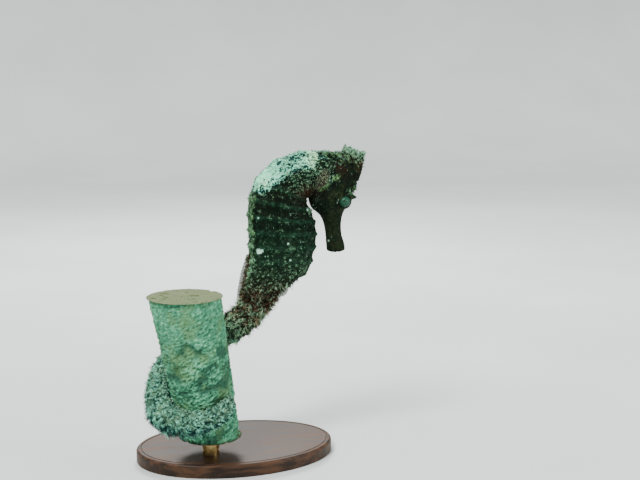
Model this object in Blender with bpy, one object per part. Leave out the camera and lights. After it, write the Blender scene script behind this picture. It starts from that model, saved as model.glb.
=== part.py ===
"""A long-snouted seahorse, life-size, gripping a cut length of sponge finger on a small display stand.

Sizes are in millimetres and become metres where a mesh is made. +X is the way the animal faces, +Z is up,
and the origin is the middle of the stand's underside. The body is one loft: closed outlines that stand
across it from the mouth to the tip of the tail, parted by thin cuts where one sub-part ends.
"""

import math
from typing import NamedTuple

import bmesh
import bpy
import numpy as np

MM = 0.001
CUT = 0.32  # the gap between two sub-parts that meet
BODY_Y = 6.0  # the plane that halves head, neck and trunk
SIDES = ((1, "left"), (-1, "right"))

# The sponge finger and the stand
PERCH_Y = -8.5
PERCH_LOW, PERCH_HIGH = 9.6, 52.0
PERCH_RADIUS_LOW, PERCH_RADIUS_HIGH = 9.2, 11.0
PERCH_X_AT_RING = -11.9  # where its axis stands at the height of the tail's ring
RING_HEIGHT = 28.0
PERCH_LEAN = 0.165  # sideways run per height
BASE_LENGTH, BASE_WIDTH, BASE_THICK = 60.0, 40.0, 4.0
BASE_BEVEL = 0.8
ROD_RADIUS = 2.5

# Rings of bony plates
TRUNK_RINGS, TAIL_RINGS = 11, 35
TRUNK_RIDGE, TAIL_RIDGE = 0.40, 0.30  # how far a ring's ridge stands out
TAIL_RING_SHRINK = 0.972  # each tail ring is this much shorter than the one before
NECK_RINGS, TRUNK_FRONT_RINGS = 3, 4
TAIL_LENGTHS = 5

# The tail's turn round the finger: angle from behind it, by way of its left side, and height and half
# thickness there
COIL = (
    (0, 32.5, 4.1),
    (30, 28.5, 3.9),
    (60, 23.1, 3.6),
    (90, 19.3, 3.6),
    (120, 17.4, 3.5),
    (150, 17.1, 3.2),
    (180, 18.4, 2.8),
    (205, 20.8, 2.1),
    (222, 23.2, 1.0),
)
COIL_STEP = 10
COIL_CLEARANCE = 0.4  # between the finger and the outermost points of the tail's rings

# The head's own features
EYE_RADIUS = 1.85
EYE_PLACE = (35.6, 2.7, 76.4)  # x, distance from the body's plane, z
ORBIT_RADIUS, ORBIT_DEPTH = 2.65, 0.85  # the raised rim round the eye, and how far behind the eye it sits
CORONET_FOOT, CORONET_LEAN = (37.6, 86.4), math.radians(70)
CORONET_HEIGHT, CORONET_POINTS = 6.3, 5

SKIN_BROWN = (0.035, 0.028, 0.022)
SADDLE_PALE = (0.42, 0.52, 0.44)
FIN_OLIVE = (0.16, 0.13, 0.07)
SPONGE_GREEN = (0.26, 0.36, 0.27)


class Station(NamedTuple):
    """One outline across head, neck, trunk or tail root: its back and belly points in the body's plane,
    its half width, how oval it is (1) or ridged (0), how far the ridges have become a tail's, how much wider
    it is above, and how far it has turned about its own length, in degrees."""

    name: str
    back: tuple
    belly: tuple
    half_width: float
    oval: float
    tail: float = 0.0
    top_heavy: float = 0.0
    turn: float = 0.0


STATIONS = (
    Station("mouth", (36.4, 61.3), (30.8, 61.1), 2.4, 1),
    Station("snout_flare", (36.1, 63.2), (30.6, 63.2), 2.4, 1),
    Station("snout_waist", (35.3, 66.0), (30.3, 66.2), 2.2, 1),
    Station("snout_middle", (35.2, 69.5), (29.7, 69.3), 2.4, 1),
    Station("snout_root", (35.7, 72.2), (28.8, 71.6), 2.8, 1),
    Station("nose", (36.6, 74.2), (27.6, 73.0), 3.2, 1, 0, 0.10),
    Station("eye_level", (37.8, 76.5), (26.4, 74.3), 3.5, 1, 0, 0.16),
    Station("cheek", (39.0, 79.2), (25.7, 75.5), 3.9, 1, 0, 0.10),
    Station("gill_cover", (40.0, 82.3), (25.3, 76.4), 4.4, 1, 0, 0.02),
    Station("crown", (40.3, 85.8), (25.0, 76.9), 4.6, 1),
    Station("crown_rear", (38.4, 89.4), (24.7, 77.4), 4.3, 0.9),
    Station("nape", (35.2, 91.4), (24.4, 77.7), 4.1, 0.7),
    Station("neck_top", (31.5, 91.9), (24.1, 78.0), 4.2, 0.4),
    Station("neck_middle", (27.0, 92.2), (23.7, 78.3), 4.5, 0.25),
    Station("neck_bend", (22.0, 92.0), (23.2, 78.4), 5.0, 0.2),
    Station("withers", (16.5, 90.2), (22.8, 78.1), 5.3, 0.15),
    Station("shoulder", (11.5, 87.0), (22.9, 77.4), 5.6, 0.1),
    Station("shoulder_low", (8.2, 82.8), (23.8, 76.3), 5.9, 0.1),
    Station("chest", (6.6, 78.2), (25.2, 73.9), 6.1, 0.1),
    Station("chest_low", (6.0, 73.4), (26.6, 70.6), 6.3, 0.1),
    Station("trunk_middle", (6.1, 68.8), (27.4, 67.0), 6.4, 0.1),
    Station("belly_top", (6.2, 64.4), (27.4, 63.2), 6.4, 0.1),
    Station("belly", (6.0, 60.2), (26.5, 59.4), 6.3, 0.1),
    Station("belly_low", (5.3, 56.2), (25.0, 55.4), 6.0, 0.1),
    Station("flank", (4.5, 52.9), (21.1, 52.0), 5.6, 0.1, 0.15),
    Station("vent", (3.5, 49.9), (17.0, 49.0), 5.2, 0.1, 0.5),
    Station("tail_root", (2.3, 47.0), (13.9, 44.2), 5.0, 0.1, 0.8, 0, 12),
    Station("tail_bend", (0.4, 44.4), (10.2, 39.6), 4.8, 0.1, 1, 0, 28),
    Station("tail_free", (-2.6, 42.0), (5.6, 36.0), 4.6, 0.1, 1, 0, 46),
    Station("tail_near_perch", (-6.4, 39.8), (0.0, 32.9), 4.4, 0.1, 1, 0, 66),
)

# Where the ridges stand on an outline, as side and up shares, from the keel up the left side and down again
TRUNK_CORNERS = ((0, -1), (0.77, -0.60), (1.03, 0.14), (0.58, 1), (-0.58, 1), (-1.03, 0.14), (-0.77, -0.60))
TAIL_CORNERS = ((0, -0.92), (0.78, -0.86), (0.95, 0), (0.78, 0.86), (-0.78, 0.86), (-0.95, 0), (-0.78, -0.86))
CORNER_ANGLES = (-180, -128, -82, -30, 30, 82, 128)  # seen from the back ridge, for an oval outline


def bend_through(keys, values, at):
    """A smooth curve through the values at the keys, read at the given places (Catmull-Rom slopes)."""
    keys, values = np.asarray(keys, float), np.asarray(values, float)
    slopes = np.gradient(values, keys, axis=0)
    i = np.clip(np.searchsorted(keys, at, side="right") - 1, 0, len(keys) - 2)
    span = keys[i + 1] - keys[i]
    t = (np.asarray(at) - keys[i]) / span
    shape = (-1,) + (1,) * (values.ndim - 1)
    t, span = t.reshape(shape), span.reshape(shape)
    return (
        (2 * t**3 - 3 * t**2 + 1) * values[i]
        + (t**3 - 2 * t**2 + t) * span * slopes[i]
        + (3 * t**2 - 2 * t**3) * values[i + 1]
        + (t**3 - t**2) * span * slopes[i + 1]
    )


def unit(vectors):
    return vectors / np.linalg.norm(vectors, axis=-1, keepdims=True)


def perch_axis(height):
    """The finger's middle at a height."""
    height = np.asarray(height, float)
    x = PERCH_X_AT_RING - PERCH_LEAN * (height - RING_HEIGHT)
    return np.stack([x, np.full_like(height, PERCH_Y), height], axis=-1)


def perch_radius(height):
    """The finger's radius at a height, without its lumps."""
    share = (height - PERCH_LOW) / (PERCH_HIGH - PERCH_LOW)
    return PERCH_RADIUS_LOW + (PERCH_RADIUS_HIGH - PERCH_RADIUS_LOW) * share


def coil():
    """The tail's turn: middles, outward directions and half sizes, from behind the finger to the tip."""
    turn, height, thickness = (np.array(column, float) for column in zip(*COIL))
    degrees = np.append(np.arange(turn[0], turn[-1], COIL_STEP), turn[-1])
    heights, half = bend_through(turn, height, degrees), bend_through(turn, thickness, degrees)
    angle = np.radians(degrees)
    outward = np.stack([-np.sin(angle), np.cos(angle), np.zeros_like(angle)], axis=-1)
    reach = perch_radius(heights) + COIL_CLEARANCE + half + TAIL_RIDGE * half / half[0]
    return perch_axis(heights) + outward * reach[:, None], outward, half


class Body:
    """The animal's length as smooth functions of the way along it, in millimetres from the mouth."""

    def __init__(self):
        back = np.array([(s.back[0], BODY_Y, s.back[1]) for s in STATIONS])
        belly = np.array([(s.belly[0], BODY_Y, s.belly[1]) for s in STATIONS])
        turn_middle, turn_out, turn_half = coil()
        middle = np.vstack([(back + belly) / 2, turn_middle])
        self.way = np.concatenate([[0], np.cumsum(np.linalg.norm(np.diff(middle, axis=0), axis=1))])
        ahead = unit(np.gradient(middle, self.way, axis=0))
        turned = np.radians([[s.turn] for s in STATIONS])
        in_plane = unit(back - belly) * np.cos(turned) + np.array((0.0, 1.0, 0.0)) * np.sin(turned)
        up = np.vstack([in_plane, turn_out])
        turn_count = len(turn_half)
        side = unit(np.cross(ahead, up))
        half_depth = np.append(np.linalg.norm(back - belly, axis=1) / 2, turn_half)
        half_width = np.append([s.half_width for s in STATIONS], turn_half)
        shape = np.array([(s.oval, s.tail, s.top_heavy) for s in STATIONS] + [(0.1, 1, 0)] * turn_count)
        self.table = np.hstack([middle, up, side, half_depth[:, None], half_width[:, None], shape])
        self.neck_start = self.at("nape")
        self.tail_start = self.at("vent")
        self.end = self.way[-1]
        self.ring_ends = self.rings()

    def at(self, name):
        """How far along the body a station stands."""
        return self.way[[s.name for s in STATIONS].index(name)]

    def rings(self):
        """Where each ring of plates ends, from the first of the neck to the last of the tail."""
        trunk = np.linspace(self.neck_start, self.tail_start, TRUNK_RINGS + 1)
        steps = TAIL_RING_SHRINK ** np.arange(TAIL_RINGS)
        tail = self.tail_start + np.cumsum(steps) / steps.sum() * (self.end - self.tail_start)
        return np.concatenate([trunk, tail])

    def outline(self, along, per_edge, ridge=0.0, grow=0.0):
        """The closed outline at one place: per_edge points from each ridge to the next."""
        row = bend_through(self.way, self.table, np.array([along]))[0]
        middle, up, side = row[:3], unit(row[3:6]), row[6:9]
        side = unit(side - side.dot(up) * up)
        half_depth, half_width, oval, tail, top_heavy = row[9:]
        edge = np.arange(7 * per_edge) / per_edge
        corners = (1 - tail) * np.array(TRUNK_CORNERS) + tail * np.array(TAIL_CORNERS)
        corners = np.vstack([corners, corners[:1]])
        angles = np.radians(np.interp(edge, range(8), CORNER_ANGLES + (180,)))
        ridged = np.stack([np.interp(edge, range(8), corners[:, k]) for k in (0, 1)], axis=-1)
        rounded = np.stack([-np.sin(angles), np.cos(angles)], axis=-1)
        flat = (1 - oval) * ridged + oval * rounded
        sideways = flat[:, 0] * (1 + top_heavy * flat[:, 1])
        peak = 0.4 + 0.6 * (np.arange(7 * per_edge) % per_edge == 0)
        swell = grow + ridge * peak
        return (
            middle
            + side * (sideways * (half_width + swell))[:, None]
            + up * (flat[:, 1] * (half_depth + swell))[:, None]
        )


BODY = Body()


def new_object(name, mesh, colour, roughness=0.6, metallic=0.0):
    """An object in the scene with a material of its own."""
    obj = bpy.data.objects.new(name, mesh)
    bpy.context.scene.collection.objects.link(obj)
    material = bpy.data.materials.new(name)
    material.use_nodes = True
    shader = material.node_tree.nodes["Principled BSDF"]
    shader.inputs["Base Color"].default_value = (*colour, 1)
    shader.inputs["Roughness"].default_value = roughness
    shader.inputs["Metallic"].default_value = metallic
    mesh.materials.append(material)
    mesh.shade_smooth()
    mesh.set_sharp_from_angle(angle=math.radians(35))
    return obj


def loft(name, outlines, colour, **finish):
    """A solid through closed outlines of equal length, with a flat face at each end."""
    bm = bmesh.new()
    loops = [[bm.verts.new(point * MM) for point in outline] for outline in outlines]
    for low, high in zip(loops, loops[1:]):
        for i in range(len(low)):
            j = (i + 1) % len(low)
            bm.faces.new((low[i], low[j], high[j], high[i]))
    bm.faces.new(loops[0])
    bm.faces.new(loops[-1])
    bmesh.ops.recalc_face_normals(bm, faces=bm.faces)
    mesh = bpy.data.meshes.new(name)
    bm.to_mesh(mesh)
    bm.free()
    return new_object(name, mesh, colour, **finish)


def helper(obj):
    """Marks an object as a cutter, which is not part of the model."""
    obj.hide_render = True
    obj.display_type = "WIRE"
    return obj


def combine(obj, other, operation):
    """Cuts obj with another object, or joins it to obj."""
    modifier = obj.modifiers.new(operation.lower(), "BOOLEAN")
    modifier.operation = operation
    modifier.solver = "EXACT"
    modifier.object = other


def ringed_length(name, start, end, per_edge, ridge, steps=2):
    """A length of neck, trunk or tail, from one ring's end to another's, with a ridge round each ring."""
    places, heights = [], []
    for low, high in zip(BODY.ring_ends[start:end], BODY.ring_ends[start + 1 : end + 1]):
        for i in range(steps):
            places.append(low + (high - low) * i / steps)
            heights.append(math.sin(math.pi * i / steps))
    places = np.append(places, BODY.ring_ends[end])
    heights.append(0.0)
    places[0] += CUT / 2
    places[-1] -= CUT / 2
    outlines = [BODY.outline(at, per_edge, ridge * h) for at, h in zip(places, heights)]
    return loft(name, outlines, SKIN_BROWN)


def body_cutter(name, start, end, count, grow=CUT):
    """A slightly larger copy of a length of the body, to fit against it what stands on it."""
    outlines = [BODY.outline(at, 3, grow=grow) for at in np.linspace(start, end, count)]
    return helper(loft(name, outlines, SKIN_BROWN))


def ball(name, place, radius, colour, **finish):
    bm = bmesh.new()
    bmesh.ops.create_uvsphere(bm, u_segments=20, v_segments=12, radius=radius * MM)
    mesh = bpy.data.meshes.new(name)
    bm.to_mesh(mesh)
    bm.free()
    obj = new_object(name, mesh, colour, **finish)
    obj.location = [v * MM for v in place]
    return obj


def spine(name, root, direction, length, radius):
    """A blunt bony point, to be joined to the head."""
    direction = unit(np.array(direction, float))
    across = unit(np.cross(direction, (0.3, 0.2, 0.9)))
    other = np.cross(direction, across)
    outlines = []
    for share, thick in ((-0.5, 1.0), (0.3, 0.85), (0.75, 0.5), (1.0, 0.2)):
        turn = np.radians(np.arange(0, 360, 60))[:, None]
        ring = across * np.cos(turn) + other * np.sin(turn)
        outlines.append(np.array(root) + direction * length * share + ring * radius * thick)
    return helper(loft(name, outlines, SKIN_BROWN))


def head_and_snout():
    """The snout's tube, and the head with its gill covers, brow spines and eye sockets."""
    root = BODY.at("snout_root")
    snout_places = np.linspace(0, root - CUT / 2, 9)
    snout = [BODY.outline(at, 3) for at in snout_places]
    lips = [BODY.outline(0, 3, grow=-0.5) + (0.05, 0, -0.45)]
    loft("snout", lips + snout, SKIN_BROWN)
    head_places = np.linspace(root + CUT / 2, BODY.neck_start - CUT / 2, 17)
    head = loft("head", [BODY.outline(at, 3) for at in head_places], SKIN_BROWN)
    eye_x, eye_out, eye_z = EYE_PLACE
    for side, name in SIDES:
        brow = spine("brow_" + name, (38.2, BODY_Y + side * 2.2, 77.8), (1, side * 0.45, -0.15), 1.6, 0.8)
        combine(head, brow, "UNION")
        jowl = spine("jowl_" + name, (27.9, BODY_Y + side * 2.5, 76.3), (-0.5, side, -0.5), 1.2, 0.7)
        combine(head, jowl, "UNION")
        rim_place = (eye_x, BODY_Y + side * (eye_out - ORBIT_DEPTH), eye_z)
        orbit = helper(ball("orbit_" + name, rim_place, ORBIT_RADIUS, SKIN_BROWN))
        combine(head, orbit, "UNION")
    for side, name in SIDES:
        place = (eye_x, BODY_Y + side * eye_out, eye_z)
        socket = helper(ball("socket_" + name, place, EYE_RADIUS + CUT, SKIN_BROWN))
        combine(head, socket, "DIFFERENCE")
        ball("eye_" + name, place, EYE_RADIUS, (0.02, 0.018, 0.015), roughness=0.1)


def coronet():
    """The crumpled crown on top of the head: a stem that flares into five knobs."""
    up = np.array((math.cos(CORONET_LEAN), 0, math.sin(CORONET_LEAN)))
    along = np.array((-math.sin(CORONET_LEAN), 0, math.cos(CORONET_LEAN)))
    side = np.array((0.0, 1.0, 0.0))
    foot = np.array((CORONET_FOOT[0], BODY_Y, CORONET_FOOT[1]))
    angle = np.radians(np.arange(0, 360, 12))[:, None]
    outlines = []
    for share, reach, lobe in (
        (-0.40, 4.6, 0.00),
        (0.05, 4.5, 0.02),
        (0.35, 4.2, 0.05),
        (0.65, 3.7, 0.10),
        (0.88, 3.3, 0.20),
        (1.00, 2.9, 0.22),
        (0.92, 1.6, 0.10),
    ):
        wave = 1 + lobe * np.cos(CORONET_POINTS * angle)
        ring = (along * np.cos(angle) + side * 0.8 * np.sin(angle)) * reach * wave
        outlines.append(foot + up * CORONET_HEIGHT * share + ring)
    crown = loft("coronet", outlines, SKIN_BROWN)
    cutter = body_cutter("coronet_cutter", BODY.at("eye_level"), BODY.at("neck_bend"), 14)
    combine(crown, cutter, "DIFFERENCE")


def fan(name, root, first, last, out, reaches, thick, sink=0.0):
    """A fin: a thin fan from root, turning from direction first to last, out being its face's normal."""
    first, last, out = (unit(np.array(v, float)) for v in (first, last, out))
    count = len(reaches)
    rim = []
    for i, reach in enumerate(reaches):
        share = i / (count - 1)
        ray = unit(first * (1 - share) + last * share)
        rim.append(np.array(root) + ray * reach)
    heel = np.array(root) - unit(first + last) * sink
    edge = np.array([heel] + rim)
    return loft(name, [edge - out * thick / 2, edge + out * thick / 2], FIN_OLIVE, roughness=0.4)


def fins():
    """The dorsal fin on the last trunk and first tail rings, a fin behind each gill, and the anal fin."""
    start, end = BODY.ring_ends[TRUNK_RINGS - 3], BODY.ring_ends[TRUNK_RINGS + 1]
    places = np.linspace(start, end, 9)
    ridge = np.array([BODY.outline(at, 1)[3:5].mean(axis=0) for at in places])
    inside = np.array([BODY.outline(at, 1, grow=-2.5)[3:5].mean(axis=0) for at in places])
    share = np.linspace(0, 1, 9)
    height = 1.9 * np.sin(np.pi * (0.12 + 0.80 * share)) ** 0.6
    away = unit(ridge - inside)
    slope = unit(np.gradient(ridge, axis=0))
    rim = ridge + (away + 0.35 * slope) * height[:, None]
    edge = np.vstack([inside, rim[::-1]])
    half = np.array((0, 0.3, 0))
    dorsal = loft("dorsal_fin", [edge - half, edge + half], FIN_OLIVE, roughness=0.4)
    trunk_cutter = body_cutter("trunk_cutter", BODY.at("chest"), BODY.at("tail_near_perch"), 40, TRUNK_RIDGE)
    combine(dorsal, trunk_cutter, "DIFFERENCE")
    vent_root, reaches = (16.3, BODY_Y, 49.6), (2.0, 2.3, 2.4, 2.1)
    vent = fan("anal_fin", vent_root, (1, 0, -0.1), (0.1, 0, -1), (0, 1, 0), reaches, 0.6, 1.0)
    combine(vent, trunk_cutter, "DIFFERENCE")
    neck_cutter = body_cutter("neck_cutter", BODY.at("cheek"), BODY.at("withers"), 20, TRUNK_RIDGE)
    for side, name in SIDES:
        root = (29.5, BODY_Y + side * 4.3, 83.0)
        pectoral = fan(
            "pectoral_fin_" + name,
            root,
            (-0.35, side * 0.35, 1),
            (-1, side * 0.35, -0.35),
            (0.3, side, 0.3),
            (3.4, 4.0, 4.3, 4.4, 4.2, 3.6),
            0.6,
            0.6,
        )
        combine(pectoral, neck_cutter, "DIFFERENCE")


def body_lengths():
    """Neck, the trunk's two lengths and the tail's, cut at ring ends."""
    ringed_length("neck", 0, NECK_RINGS, 3, TRUNK_RIDGE, 3)
    middle = NECK_RINGS + TRUNK_FRONT_RINGS
    ringed_length("trunk_front", NECK_RINGS, middle, 3, TRUNK_RIDGE, 3)
    ringed_length("trunk_rear", middle, TRUNK_RINGS, 3, TRUNK_RIDGE, 3)
    per_length = TAIL_RINGS // TAIL_LENGTHS
    for i in range(TAIL_LENGTHS):
        start = TRUNK_RINGS + i * per_length
        ringed_length(f"tail_{i + 1}", start, start + per_length, 2, TAIL_RIDGE * (1 - i / TAIL_LENGTHS))


def perch():
    """The cut length of sponge finger: a leaning, slightly waisted stalk with flat cut ends."""
    heights = np.linspace(PERCH_LOW, PERCH_HIGH, 15)
    angle = np.radians(np.arange(0, 360, 15))
    outlines = []
    for height in heights:
        share = (height - PERCH_LOW) / (PERCH_HIGH - PERCH_LOW)
        lumps = 0.004 * np.sin(3 * angle + 5 * share) + 0.006 * np.sin(2 * angle - 9 * share)
        reach = perch_radius(height) * (0.99 + lumps)
        ring = np.stack([np.cos(angle) * reach, np.sin(angle) * reach, np.zeros_like(angle)], axis=-1)
        outlines.append(perch_axis(height) + ring)
    loft("perch_sponge", outlines, SPONGE_GREEN, roughness=0.9)


def stand():
    """An oval base with an eased rim, and one short rod up to the finger."""
    angle = np.radians(np.arange(0, 360, 7.5))
    oval = np.stack([np.cos(angle), np.sin(angle), np.zeros_like(angle)], axis=-1)
    outlines = []
    for height, inset in ((0, 0), (BASE_THICK - BASE_BEVEL, 0), (BASE_THICK, BASE_BEVEL)):
        half = np.array((BASE_LENGTH / 2 - inset, BASE_WIDTH / 2 - inset, 0))
        outlines.append(oval * half + (0, 0, height))
    loft("stand_base", outlines, (0.035, 0.022, 0.014), roughness=0.35)
    foot = perch_axis(PERCH_LOW)
    turn = np.radians(np.arange(0, 360, 15))
    ring = np.stack([np.cos(turn), np.sin(turn), np.zeros_like(turn)], axis=-1) * ROD_RADIUS
    low, high = BASE_THICK + CUT, PERCH_LOW - CUT
    outlines = [ring + (foot[0], foot[1], height) for height in (low, high)]
    loft("stand_rod", outlines, (0.55, 0.42, 0.2), roughness=0.3, metallic=1.0)


def main():
    for obj in list(bpy.data.objects):
        bpy.data.objects.remove(obj)
    head_and_snout()
    coronet()
    body_lengths()
    fins()
    perch()
    stand()


main()
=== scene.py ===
"""Looks of a long-snouted seahorse that grips a cut sponge finger on a small display stand.

One skin covers head, neck, trunk and tail. It follows the same outlines as the solids, a coat's depth
inside them, and carries the rings, ridges and folds. Tufts of fine filaments stand on it. Sizes are in
millimetres and become metres where a mesh is made.
"""

import logging
import math
from dataclasses import dataclass
from enum import Enum
from typing import NamedTuple

import bmesh
import bpy
import numpy as np
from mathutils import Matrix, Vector, kdtree, noise


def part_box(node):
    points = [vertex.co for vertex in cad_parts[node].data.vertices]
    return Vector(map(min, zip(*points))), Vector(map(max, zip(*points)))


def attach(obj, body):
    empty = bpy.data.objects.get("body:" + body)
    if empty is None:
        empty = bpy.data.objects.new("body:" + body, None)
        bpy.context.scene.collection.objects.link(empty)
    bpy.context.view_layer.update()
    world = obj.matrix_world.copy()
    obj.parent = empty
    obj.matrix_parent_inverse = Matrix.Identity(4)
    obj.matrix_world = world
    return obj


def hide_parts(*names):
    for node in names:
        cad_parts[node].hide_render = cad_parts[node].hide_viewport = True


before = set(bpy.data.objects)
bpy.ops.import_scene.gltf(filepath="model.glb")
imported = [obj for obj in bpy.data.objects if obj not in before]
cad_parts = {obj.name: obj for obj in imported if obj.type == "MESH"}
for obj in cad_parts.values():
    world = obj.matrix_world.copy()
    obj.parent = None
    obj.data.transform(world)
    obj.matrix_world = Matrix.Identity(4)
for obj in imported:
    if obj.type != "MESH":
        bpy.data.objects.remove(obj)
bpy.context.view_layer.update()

MM = 0.001
ROOT = "root"
ACROSS = np.array((0.0, 1.0, 0.0))
Array = np.ndarray
Colour = tuple[float, float, float, float]
Pair = tuple[float, float]
Pairs = tuple[Pair, ...]
Point = tuple[float, float, float]
Levels = tuple[tuple[str, float], ...]
Object = bpy.types.Object
Mesh = bpy.types.Mesh
Material = bpy.types.Material
Node = bpy.types.Node
Socket = bpy.types.NodeSocket
NodeTree = bpy.types.NodeTree
log = logging.getLogger("seahorse")


class Side(Enum):
    """The animal's two sides, by the sign of Y."""

    LEFT = 1
    RIGHT = -1

    @property
    def label(self) -> str:
        """The side's name as nodes have it."""
        return self.name.lower()


class Slot(Enum):
    """The record's material slots."""

    SKIN = "skin"
    FIN = "fin"
    EYE = "eye"
    SPONGE = "sponge"
    WOOD = "stand_wood"
    METAL = "stand_metal"


# ---- helpers


def smooth_step(value: Array, low: float, high: float) -> Array:
    """A soft switch from 0 at low to 1 at high, elementwise."""
    share = np.clip((np.asarray(value, float) - low) / (high - low), 0, 1)
    return share * share * (3 - 2 * share)


def bump(value: Array, centre: float, width: float) -> Array:
    """A bell of height 1 round centre, elementwise."""
    return np.exp(-(((np.asarray(value, float) - centre) / width) ** 2))


def unit(vectors: Array) -> Array:
    """The vectors at length 1."""
    return vectors / np.maximum(np.linalg.norm(vectors, axis=-1, keepdims=True), 1e-12)


def one_turn(count: int) -> Array:
    """Evenly spaced angles round one turn, in radians."""
    return np.arange(count) / count * 2 * math.pi


def ball_directions(polar: Array, around: Array) -> Array:
    """Unit vectors by polar angle (rows) and angle round Z (columns)."""
    level = np.sin(polar)
    return np.stack([level * np.cos(around), level * np.sin(around), np.cos(polar) + 0 * around], axis=-1)


def solid_box(node: str) -> tuple[Array, Array]:
    """The low and high corners of a solid's box, in millimetres."""
    low, high = (np.array(corner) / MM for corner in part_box(node))
    return low, high


class Noise(NamedTuple):
    """One kind of smooth noise: features per millimetre, a shift of its own, how many halvings, a stretch."""

    scale: float
    shift: float
    octaves: int = 1
    stretch: Point = (1, 1, 1)

    def at(self, points: Array) -> Array:
        """The noise, from about -1 to 1, at each row of points, in millimetres."""
        moved = points * self.stretch * self.scale + self.shift
        if self.octaves == 1:
            return np.array([noise.noise(Vector(p)) for p in moved])
        return np.array([noise.fractal(Vector(p), 0.8, 2.0, self.octaves) for p in moved])


def bend_through(keys: Array, values: Array, at: Array) -> Array:
    """Reads a smooth curve through values.

    Args:
        keys: Where the values stand, rising.
        values: One number or vector for each key.
        at: Where the curve is read.

    Returns:
        The curve's number or vector at each place.
    """
    keys, values = np.asarray(keys, float), np.asarray(values, float)
    slopes = np.gradient(values, keys, axis=0)
    i = np.clip(np.searchsorted(keys, at, side="right") - 1, 0, len(keys) - 2)
    span = keys[i + 1] - keys[i]
    t = (np.asarray(at) - keys[i]) / span
    shape = (-1,) + (1,) * (values.ndim - 1)
    t, span = t.reshape(shape), span.reshape(shape)
    return (
        (2 * t**3 - 3 * t**2 + 1) * values[i]
        + (t**3 - 2 * t**2 + t) * span * slopes[i]
        + (3 * t**2 - 2 * t**3) * values[i + 1]
        + (t**3 - t**2) * span * slopes[i + 1]
    )


class MeshParts:
    """Vertices and faces in millimetres, gathered from several shapes before they become one object."""

    spine_sides = 14
    spine_profile = ((-0.5, 1.1), (0.0, 1.05), (0.35, 0.82), (0.65, 0.58), (0.88, 0.36), (1.0, 0.12))

    def __init__(self) -> None:
        """Starts empty."""
        self.points: list[Array] = []
        self.faces: list[tuple[int, ...]] = []
        self.count = 0

    def add(self, points: Array, faces: list[tuple[int, ...]]) -> None:
        """Adds one shape.

        Args:
            points: Its points, in rows of three or in a grid of them.
            faces: Its faces, numbered from its own first point.
        """
        points = np.asarray(points, float).reshape(-1, 3)
        self.faces += [tuple(i + self.count for i in face) for face in faces]
        self.points.append(points)
        self.count += len(points)

    def tube(self, rows: Array) -> None:
        """Adds a surface through closed rows of points, in shape (rows, columns, 3); its ends are capped."""
        rows = np.asarray(rows, float)
        n, m = rows.shape[:2]
        index = np.arange(n * m).reshape(n, m)
        right = np.roll(index, -1, axis=1)
        quads = np.stack([index[:-1], right[:-1], right[1:], index[1:]], axis=-1).reshape(-1, 4)
        faces = [tuple(q) for q in quads.tolist()]
        faces += [tuple(index[0][::-1].tolist()), tuple(index[-1].tolist())]
        self.add(rows, faces)

    def ball(self, centre: Array, radius: float, turns: int) -> None:
        """Adds a closed ball of so many columns."""
        polar = np.linspace(0.04, math.pi - 0.04, turns // 2)[:, None]
        self.tube(np.asarray(centre) + ball_directions(polar, one_turn(turns)) * radius)

    def spine(self, root: Array, direction: Array, length: float, radius: float) -> None:
        """Adds a blunt bony point that starts a little below its root.

        Args:
            root: Where it leaves the surface.
            direction: Where it points.
            length: Its length above the root.
            radius: Its radius near the root.
        """
        ahead = unit(np.asarray(direction, float))
        across = unit(np.cross(ahead, (0.3, 0.2, 0.9)))
        other = np.cross(ahead, across)
        turn = one_turn(self.spine_sides)[:, None]
        rows = []
        for share, thick in self.spine_profile:
            ring = across * np.cos(turn) + other * np.sin(turn)
            rows.append(np.asarray(root) + ahead * length * share + ring * radius * thick)
        self.tube(np.array(rows))

    def object(self, name: str) -> Object:
        """Makes the object, in metres, smooth and with its normals outwards."""
        mesh = bpy.data.meshes.new(name)
        mesh.from_pydata((np.vstack(self.points) * MM).tolist(), [], self.faces)
        mesh.update()
        bm = bmesh.new()
        bm.from_mesh(mesh)
        bmesh.ops.recalc_face_normals(bm, faces=bm.faces)
        bm.to_mesh(mesh)
        bm.free()
        mesh.shade_smooth()
        return placed(name, mesh)


def placed(name: str, data: bpy.types.ID) -> Object:
    """A new object with this data, in the scene."""
    made = bpy.data.objects.new(name, data)
    bpy.context.scene.collection.objects.link(made)
    return made


def applied(obj: Object, name: str) -> Object:
    """A plain object with obj's evaluated mesh, in place of obj, which goes."""
    graph = bpy.context.evaluated_depsgraph_get()
    evaluated = obj.evaluated_get(graph)
    mesh = bpy.data.meshes.new_from_object(evaluated, preserve_all_data_layers=True, depsgraph=graph)
    bpy.data.objects.remove(obj)
    mesh.name = name
    return placed(name, mesh)


def rows_of_three(items: bpy.types.bpy_prop_collection, key: str) -> Array:
    """One row of three numbers for each item."""
    flat = np.empty(len(items) * 3)
    items.foreach_get(key, flat)
    return flat.reshape(-1, 3)


def coordinates(mesh: Mesh) -> Array:
    """The mesh's vertices in millimetres."""
    return rows_of_three(mesh.vertices, "co") / MM


def move_points(mesh: Mesh, points: Array) -> None:
    """Sets the mesh's vertices, given in millimetres."""
    mesh.vertices.foreach_set("co", (points * MM).ravel())
    mesh.update()


def store(mesh: Mesh, **values: Array) -> None:
    """Stores numbers or vectors on the mesh's vertices.

    Args:
        mesh: The mesh.
        values: By name, a number or a row of three for each vertex.
    """
    for name, array in values.items():
        kind, key = ("FLOAT_VECTOR", "vector") if array.ndim == 2 else ("FLOAT", "value")
        layer = mesh.attributes.new(name, kind, "POINT")
        layer.data.foreach_set(key, array.ravel().astype(np.float32))


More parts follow.
